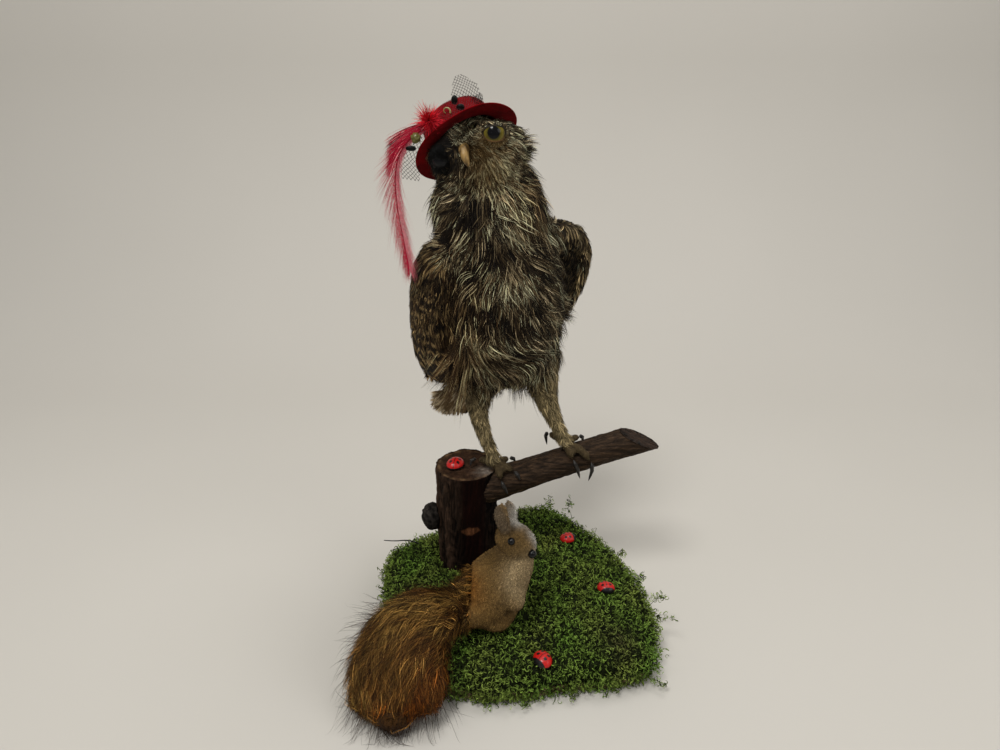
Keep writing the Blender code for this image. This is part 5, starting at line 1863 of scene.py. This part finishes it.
def moss_surface():
    """The moss mound's shape, a little inside the solid, with fine lumps on it."""
    skin = Skin(remeshed("moss_bed", [node_shell("base_moss", -0.0022)], 0.0016))
    skin.relax(0.5, 8)
    normals = skin.normals()
    lumps = noise3(skin.points, 0.018, 101) * 1.2 + noise3(skin.points, 0.0075, 102)
    skin.points += normals * (lumps * MM)[:, None]
    skin.way_out = skin.normals()
    skin.lie, skin.depth = skin.way_out, np.zeros(len(skin.points))
    return skin


MOST_IN_A_MOSS_PIECE = 170000


def make_moss():
    """A near-black bed, painted shade for the gaps, under thousands of small curled fronds, like the
    preserved moss of the display.
    """
    material = mottled_material("moss", 0.8, 0.1, 700, 0.75, 1.2)
    skin = moss_surface()
    shade = np.exp(0.4 * noise3(skin.points, 0.008, 103))
    # Painted shade: the bed is near black, the shadow in the gaps between the fronds.
    set_tint(skin.mesh, np.array((0.006, 0.009, 0.0015)) * shade[:, None])
    finish_mesh("moss_bed", skin.mesh, material, "moss", "base_moss")
    low, high = skin.points.min(0), skin.points.max(0)
    rng = np.random.default_rng(105)
    triangles = skin.triangles()
    shown = skin.way_out[triangles].mean(1)[:, 2] > -0.35
    roots = scatter(skin.points, triangles, np.flatnonzero(shown), 1.6 * MM, rng)
    normal = skin.surface().at(roots)[1]
    board_roots, board_normal = board_edge_roots(rng)
    raised = board_roots + (0, 0, 0.0035) - board_normal * 0.0005
    sprig_roots, sprig_normal = make_sprigs(rng, material, low, high)
    roots = np.concatenate([roots, board_roots, raised, sprig_roots])
    normal = np.concatenate([normal, board_normal, board_normal, sprig_normal])
    points, one, stem = moss_curls(roots, normal, rng)
    many = len(roots)
    patch = 0.5 + 0.5 * noise3(roots, 0.03, 106)
    # Painted light: curls on taller stems are brighter, besides chance and noise.
    tall = np.clip(stem / (3.6 * MM), 0, 1)
    bright = 0.05 + 0.7 * tall + 0.28 * rng.normal(size=many) + 0.22 * noise3(roots, 0.010, 107)
    bright = np.clip(bright, 0, 1)[:, None]
    green = blend(np.array((0.008, 0.015, 0.001)), np.array((0.275, 0.385, 0.075)), bright)
    green = green * np.stack([0.82 + 0.25 * patch, np.ones(many), 0.8 + 0.2 * patch], 1)
    brown = near(roots, (58, -64, 27), 9)[:, None] * 0.6
    green = blend(green, np.array((0.085, 0.062, 0.035)), brown)
    # Painted shade: each curl is darker where it leaves its stem, and darkest at its root in the bed.
    shade = np.concatenate([np.linspace(0.6, 1.15, points.shape[1] - 1), [0.15]])
    tone = green[:, None] * shade[None, :, None]
    order = np.argsort(roots[:, 0] + roots[:, 1] * 0.3, kind="stable")
    pieces = int(math.ceil(many * len(one) / MOST_IN_A_MOSS_PIECE))
    for part, group in enumerate(np.array_split(order, pieces)):
        faces = (one[None] + (np.arange(len(group)) * points.shape[1])[:, None, None]).reshape(-1, 3)
        spot = np.clip((roots[group][:, :2] - low[:2]) / (high[:2] - low[:2]), 0, 1)
        rungs = np.repeat(np.arange((points.shape[1] - 1) // 2), 2) / 8
        local = np.concatenate([np.stack([np.arange(len(rungs)) % 2, rungs], 1), [(0.5, 0)]])
        uv = (0.01 + 0.97 * spot)[:, None] + local[None] * 0.003
        corners, colours = points[group].reshape(-1, 3), tone[group].reshape(-1, 3)
        name = f"moss_fronds_{part + 1}"
        finish_piece(mesh_piece(name, corners, faces, material, colours, uv.reshape(-1, 2)), "moss")
    make_twig()


# Sprigs that stray out of the moss: from, to, in mm.
SPRIGS = (
    ((84, -34, 20), (97, -39, 23)), ((82, -30, 24), (93, -30, 31)), ((72, -72, 8), (85, -83, 7)),
    ((70, -66, 12), (82, -74, 14)), ((-5, -86, 8), (-5, -97, 5)), ((-2, -86, 10), (3, -95, 8)),
    ((44, -77, 9), (51, -86, 5)), ((48, -76, 9), (57, -84, 6)), ((26, -82, 8), (26, -91, 4)),
    ((-38, -84, 8), (-36, -91, 4)), ((36, 84, 22), (37, 89, 31)), ((22, 88, 24), (20, 91, 32)),
    ((66, 20, 26), (73, 23, 32)), ((76, -4, 24), (85, -3, 28)),
)


CURLS_ON_A_SPRIG = 26


def make_sprigs(rng, material, low, high):
    """Thin stems that stick out of the moss, and places along them for its curls to grow."""
    lines, roots, normals = [], [], []
    for start, end in SPRIGS:
        share = np.linspace(0, 1, 7)[:, None]
        bow = rng.normal(0, 1.2, 3)
        line = (blend(np.array(start), np.array(end), share) + bow * np.sin(math.pi * share)) * MM
        lines.append(line)
        for _ in range(CURLS_ON_A_SPRIG):
            part = 0.25 + 0.75 * rng.random()
            here = np.array([np.interp(part, share[:, 0], line[:, k]) for k in range(3)])
            roots.append(here)
            normals.append(unit(rng.normal(size=3) + (0, 0, 0.3)))
    tone = np.full((len(lines), 3), (0.05, 0.075, 0.010))
    strands(np.array(lines), 0.0003, tone, "moss_sprigs", material, "moss", low, high)
    return np.array(roots), np.array(normals)


def board_edge_roots(rng):
    """Places on the board's edge for the moss that hangs over it."""
    points, faces = node_shell("base_board", 0.0)
    triangles = np.array([(f[0], f[k], f[k + 1]) for f in faces for k in range(1, len(f) - 1)])
    a, b, c = points[triangles[:, 0]], points[triangles[:, 1]], points[triangles[:, 2]]
    way = unit(np.cross(b - a, c - a))
    side = np.flatnonzero(np.abs(way[:, 2]) < 0.6)
    roots = scatter(points, triangles, side, 1.5 * MM, rng)
    middle = points.mean(0)
    normal = unit((roots - middle) * (1, 1, 0))
    return roots, normal


def moss_curls(roots, normal, rng):
    """A curled ribbon on a short stem at each root: points, the triangles of one, the stems' lengths."""
    many = len(roots)
    edge = np.clip(1 - normal[:, 2], 0, 1)
    grow = unit(normal + 0.55 * rng.normal(size=(many, 3)))
    stem = rng.uniform(0.6, 3.8, many) * MM * (1 + 0.35 * edge)
    stray = rng.random(many) < 0.07 * edge + 0.015
    stem = np.where(stray, stem * 2.1, stem)
    heart = roots + grow * stem[:, None]
    radius = rng.uniform(0.9, 1.8, many) * MM
    axis = unit(rng.normal(size=(many, 3)))
    first = unit(np.cross(axis, rng.normal(size=(many, 3))))
    second = np.cross(axis, first)
    corners = 7
    sweep = rng.uniform(1.1, 1.9, many) * math.pi
    points = []
    for k in range(corners):
        angle = sweep * k / (corners - 1)
        ring = first * np.cos(angle)[:, None] + second * np.sin(angle)[:, None]
        wide = 0.31 * MM * (1 - 0.35 * k / (corners - 1))
        edge_way = unit(axis + ring * 0.8) * wide
        at = heart + ring * radius[:, None] * (1 - 0.25 * k / (corners - 1))
        points += [at - edge_way, at + edge_way]
    points.append(roots - normal * 0.4 * MM)
    points = np.stack(points, 1)
    points[..., 2] = np.maximum(points[..., 2], 0.0003)
    one = []
    for k in range(corners - 1):
        one += [(2 * k, 2 * k + 1, 2 * k + 3), (2 * k, 2 * k + 3, 2 * k + 2)]
    one.append((0, 1, 2 * corners))
    return points, np.array(one), stem


def make_twig():
    """A thin dark twig lying out of the moss at the left."""
    spine = rounded(((-110, 31, 35), (-101, 32, 33.5), (-92, 33.5, 33.5), (-84, 34, 30)), 3) * MM
    thick = 0.0005 * (0.6 + 0.6 * np.linspace(0, 1, len(spine)))[:, None]
    points = rings_round(spine, thick, 10, (0, 0, 1.0)).reshape(-1, 3)
    bark = bark_material("branch_bark")
    finish_piece(mesh_piece("moss_twig", points, grid_triangles(len(spine), 10), bark, 0.02), "bark")


# ---- the squirrel and the ladybirds --------------------------------------------------------------

TAIL_LINE = ((-32, -49, 40), (-52, -56, 46), (-72, -67, 46), (-84, -83, 33), (-86, -100, 17), (-88, -118, 8))


SQUIRREL_BROWN = np.array((0.190, 0.112, 0.036))
# The squirrel's other colours, each with the places that have it and how wide they are: pale chest and
# chin, whitish muzzle and far ear, orange rump, grey-brown near ear, painted shade in folds by limbs and
# neck.
SQUIRREL_TONES = (
    (np.array((0.42, 0.31, 0.165)), ((-8, -60, 80, 7), (-9, -60, 70, 7), (-8, -57, 57, 5), (0, -52, 84, 7))),
    (np.array((0.46, 0.43, 0.38)), (
        (-1, -48, 99, 3.0), (3, -49, 94, 3.0), (-9, -41, 114, 5), (-10, -41, 105, 4), (-15, -48, 113, 2.5),
    )),
    (np.array((0.30, 0.125, 0.022)), ((-40, -54, 60, 8), (-38, -51, 66, 6))),
    (np.array((0.16, 0.115, 0.070)), ((-23, -55, 117, 5), (-25, -55, 122, 5), (-19, -56, 111, 4))),
    # Painted shade in the creases by the limbs and the neck.
    (SQUIRREL_BROWN * 0.45, (
        (-17, -62, 50, 2.0), (-19, -61, 63, 2.2), (-16, -61, 57, 1.8), (-24, -54, 88, 3.0),
    )),
)
# Bulges and hollows on its body: where, how wide, and how high or, below zero, how deep.
BULGES = (
    (-13, -60, 61, 3.6, 2.6), (-9, -59, 56, 3.4, 2.8), (-25, -63, 52, 8.0, 2.0), (-14, -60, 40, 4.5, 2.8),
    (-16, -61, 50, 2.6, -2.8), (-18, -60, 63, 2.4, -2.0), (-13, -58, 85, 3.2, -2.2),
    (-26, -53, 87, 4.5, -2.2), (-8, -57, 96, 5.0, 0.9), (-22, -55, 116, 5.0, 0.9),
    (-86, -112, 14, 13.0, -5.0),
)


def squirrel_colour(points):
    """Golden brown, paler on chest and muzzle, with whitish inner ears and orange where the tail starts."""
    colour = SQUIRREL_BROWN * np.exp(0.2 * noise3(points, 0.012, 121))[:, None]
    colour = colour * (1 - 0.3 * near(points, (-16, -50, 98), 14)[:, None])
    for tone, places in SQUIRREL_TONES:
        share = np.clip(sum(near(points, place, place[3]) for place in places), 0, 1)[:, None]
        colour = blend(colour, tone, share)
    return colour


def squirrel_form():
    """The squirrel's skin: its body a little inside the solid and its tail well inside, under long hair."""
    skin = Skin(remeshed("squirrel_skin", [node_shell("squirrel", 0.0)], 0.0012))
    path = rounded(TAIL_LINE, 2) * MM
    far = np.min([np.linalg.norm(skin.points - p, axis=1) for p in path[4:]], axis=0)
    tail = (skin.points[:, 0] < -0.040) & (far < 0.045)
    share = np.where(tail, 0.5, 0.4)
    skin.relax(share, 7)
    normals = skin.normals()
    skin.points -= normals * np.where(tail, 4.5, 0.4)[:, None] * MM
    skin.relax(share, 3)
    normals = skin.normals()
    for *place, wide, high in BULGES:
        skin.points += normals * (high * MM * near(skin.points, place, wide))[:, None]
    ear = near(skin.points, (-22.5, -55, 118), 5)[:, None]
    skin.points += mm(-1.2, -0.3, 2.2) * ear
    skin.points[:, 2] = np.maximum(skin.points[:, 2], 0.0012)
    normals = skin.normals()
    skin.way_out = normals
    near_path = np.argmin([np.linalg.norm(skin.points - p, axis=1) for p in path], axis=0)
    along_tail = unit(np.gradient(path, axis=0))[near_path]
    body_lie = np.broadcast_to(np.array((-0.35, -0.1, -1.0)), normals.shape)
    lie = np.where(tail[:, None], along_tail, body_lie)
    lie = lie + 0.12 * np.stack([noise3(skin.points, 0.02, k) for k in (124, 125, 126)], 1)
    lie = lie - normals * np.einsum("ij,ij->i", lie, normals)[:, None]
    skin.lie = unit(lie)
    skin.depth = np.where(tail, 5.0, 0.6) * MM
    return skin, tail


def make_squirrel(plumage):
    """Flock over the body, long soft hair over the tail, and beads for its eyes and nose."""
    skin, tail = squirrel_form()
    hide = Shader("squirrel_hide", 0.9, Specular_IOR_Level=0.08, Sheen_Weight=0.05)
    hide.mottle(1400, 0.65, 1.3)
    hide.bump(hide.noise(1800, 3), 0.6, 0.0006)
    under_fur = np.array((0.050, 0.022, 0.006))
    set_tint(skin.mesh, np.where(tail[:, None], under_fur, squirrel_colour(skin.points) * 0.8))
    finish_mesh("squirrel_skin", skin.mesh, hide.material, "squirrel_felt", "squirrel")
    rng = np.random.default_rng(122)
    triangles = skin.triangles()
    on_tail = tail[triangles[:, 0]]
    coat = Coat("squirrel_nap", skin, "squirrel_felt", plumage)
    roots = scatter(skin.points, triangles, np.flatnonzero(~on_tail), 0.92 * MM, rng)
    tone = squirrel_colour(roots) * np.exp(rng.normal(0, 0.25, (len(roots), 1)))
    coat.grow(
        roots, varied(rng, 1.5, 0.25, len(roots)), 0.30 * MM, 3, 2, rng, tone * 1.2, tone * 0.65, 0.8,
        stray=0.9, fray=0.2, rise=1.6, root_shade=0.5, steps=2,
    )
    coat.finish(unwrap_of(skin.points))
    tail_coat = Coat("squirrel_tail", skin, "squirrel_felt", plumage)
    roots = scatter(skin.points, triangles, np.flatnonzero(on_tail), 2.0 * MM, rng)
    many = len(roots)
    short = np.clip((-0.038 - roots[:, 0]) / 0.022, 0.22, 1)
    share = np.clip(0.5 + 0.6 * noise3(roots, 0.02, 123) + 0.25 * rng.normal(size=many), 0, 1)[:, None]
    band = noise3(roots * (1, 0.3, 0.3), 0.0085, 128)[:, None]
    low_part = np.clip((0.044 - roots[:, 2:3]) / 0.018, 0.12, 1)
    flame = near(roots, (-66, -108, 28), 15)[:, None] * 0.6 + 0.95 * np.clip(band, 0, 1) * low_part
    flame = np.clip(flame, 0, 0.9)
    golden = blend(np.array((0.13, 0.055, 0.012)), np.array((0.36, 0.205, 0.050)), share)
    golden = blend(golden, np.array((0.32, 0.085, 0.008)), flame)
    # Painted shade: the tufts rooted within 11 mm of the floor are darker.
    golden = golden * np.exp(rng.normal(-0.22, 0.5, (many, 1))) * np.clip(roots[:, 2:3] / 0.011, 0.25, 1)
    tail_coat.grow(
        roots, 22 * MM * short * np.exp(rng.normal(0, 0.28, many)), 1.9 * MM, 8, 5, rng,
        golden * 1.6, golden * 0.16, 0.85, stray=0.36, fray=0.28, rise=1.8, root_shade=0.14,
        splay=1.9, tip=1.1, steps=5, fill=0.75, speckle=0.6,
    )
    # Painted shade: the hair is darker by the floor; it is also darker towards the tail's tip.
    _, hairs, shades, _, _ = tail_coat.parts[-1]
    painted_floor_shade = np.clip(hairs[..., 2:3] / (9 * MM), 0.12, 1)
    shades *= painted_floor_shade * np.clip((hairs[..., 1:2] + 0.122) / 0.014, 0.12, 1)
    tail_coat.finish(unwrap_of(skin.points))
    make_guard_hairs(skin, triangles, on_tail, plumage)
    bead = gloss_material("black_bead", (0.003, 0.003, 0.0035), 0.12, 0.12, 0.2)
    for name, centre, radius in (
        ("squirrel_eye_near", (-14, -57.2, 101.6), 2.5),
        ("squirrel_eye_far", (-14, -38.5, 101.6), 2.5),
        ("squirrel_nose", (-0.8, -56.4, 91.2), 3.0),
    ):
        bumpy_ball(name, centre, radius, 9, 0.06, bead, "squirrel_felt")


def make_guard_hairs(skin, triangles, on_tail, plumage):
    """Long dark hairs that stand out of the tail and bend down under their own weight."""
    rng = np.random.default_rng(127)
    roots = scatter(skin.points, triangles, np.flatnonzero(on_tail), 2.6 * MM, rng)
    here, normal, lie, _ = skin.surface().at(roots)
    many = len(roots)
    high_up = np.clip((roots[:, 2:3] - 0.030) / 0.015, 0, 1) * np.clip((-0.070 - roots[:, :1]) / 0.02, 0, 1)
    way = lie + normal * rng.uniform(0.25, 0.75, (many, 1)) + 0.40 * rng.normal(size=(many, 3))
    way = unit(way + np.array((-1.0, 0.6, 0.7)) * high_up)
    long = rng.uniform(12, 30, many)[:, None, None] * MM
    share = np.linspace(0, 1, 8)[None, :, None]
    curl = 0.22 * unit(rng.normal(size=(many, 1, 3))) * share**2
    lines = here[:, None] + (way[:, None] * share + curl - np.array((0, 0, 0.30)) * share**2) * long
    lines[..., 2] = np.maximum(lines[..., 2], 0.0006)
    # Hairs that reach far out to the left or the front are drawn in.
    for k, edge, kept in ((0, -0.121, 0.5), (1, -0.121, 0.25)):
        lines[..., k] = np.where(lines[..., k] < edge, edge - (edge - lines[..., k]) * kept, lines[..., k])
    tone = np.array((0.022, 0.011, 0.005)) * np.exp(rng.normal(0, 0.5, (many, 1)))
    low, high = skin.points.min(0), skin.points.max(0)
    strands(lines, 0.00016, tone, "squirrel_guard_hairs", plumage, "squirrel_felt", low, high)


# Each ladybird: which way it faces, in degrees, and half its length in mm.
LADYBIRDS = {
    "ladybird_1": (15, 6.6), "ladybird_2": (275, 6.6), "ladybird_3": (225, 7.2), "ladybird_4": (80, 7.4),
}
# A ladybird's spots: how far ahead and across, as shares of that half length.
LADYBIRD_SPOTS = ((0.12, 0.42), (0.12, -0.42), (-0.38, 0.36), (-0.38, -0.36))


def make_ladybirds():
    """Red domes with a black head, a dark seam and spots, painted by the shape's own angles."""
    for node, (turn, half) in LADYBIRDS.items():
        low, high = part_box(node)
        centre = (np.array(low) + np.array(high)) / 2
        skin = Skin(remeshed(f"{node}_shell", [node_shell(node, 0.0)], 0.0003))
        skin.relax(0.5, 6)
        skin.write()
        way = np.array((math.cos(math.radians(turn)), math.sin(math.radians(turn)), 0))
        local = (skin.points - centre) / (half * MM)
        ahead, across = local @ way, local @ np.array((-way[1], way[0], 0))
        dark = (ahead > 0.52) | (np.abs(across) < 0.035) | (local[:, 2] < -0.22)
        for u, v in LADYBIRD_SPOTS:
            dark |= np.hypot(ahead - u, across - v) < 0.15
        set_tint(skin.mesh, np.where(dark[:, None], (0.006, 0.005, 0.006), (0.50, 0.008, 0.006)))
        paint = Shader(f"{node}_paint", 0.4, Coat_Weight=0.2, Coat_Roughness=0.15, Specular_IOR_Level=0.3)
        paint.mottle(600, 0.85, 1.1)
        finish_mesh(f"{node}_shell", skin.mesh, paint.material, "ladybird", node)


def main():
    make_camera_and_light()
    make_stage()
    skin = make_owl_skin()
    plumage = mottled_material("plumage", 0.7, 0.12, 900, 0.72, 1.15)
    make_body_coat(skin, plumage)
    make_head_coat(skin, plumage)
    make_wing("wing_left", 1, skin, plumage)
    make_wing("wing_right", -1, skin, plumage)
    make_tail_coat(skin, plumage)
    make_leg_coat(skin, plumage)
    make_eyes(plumage)
    make_bill_and_claws()
    make_hat()
    make_trimmings(plumage)
    make_stump()
    make_branch()
    make_knot()
    make_moss()
    make_squirrel(plumage)
    make_ladybirds()
    board = board_material()
    NODES["base_board"].data.materials.clear()
    NODES["base_board"].data.materials.append(board)


main()
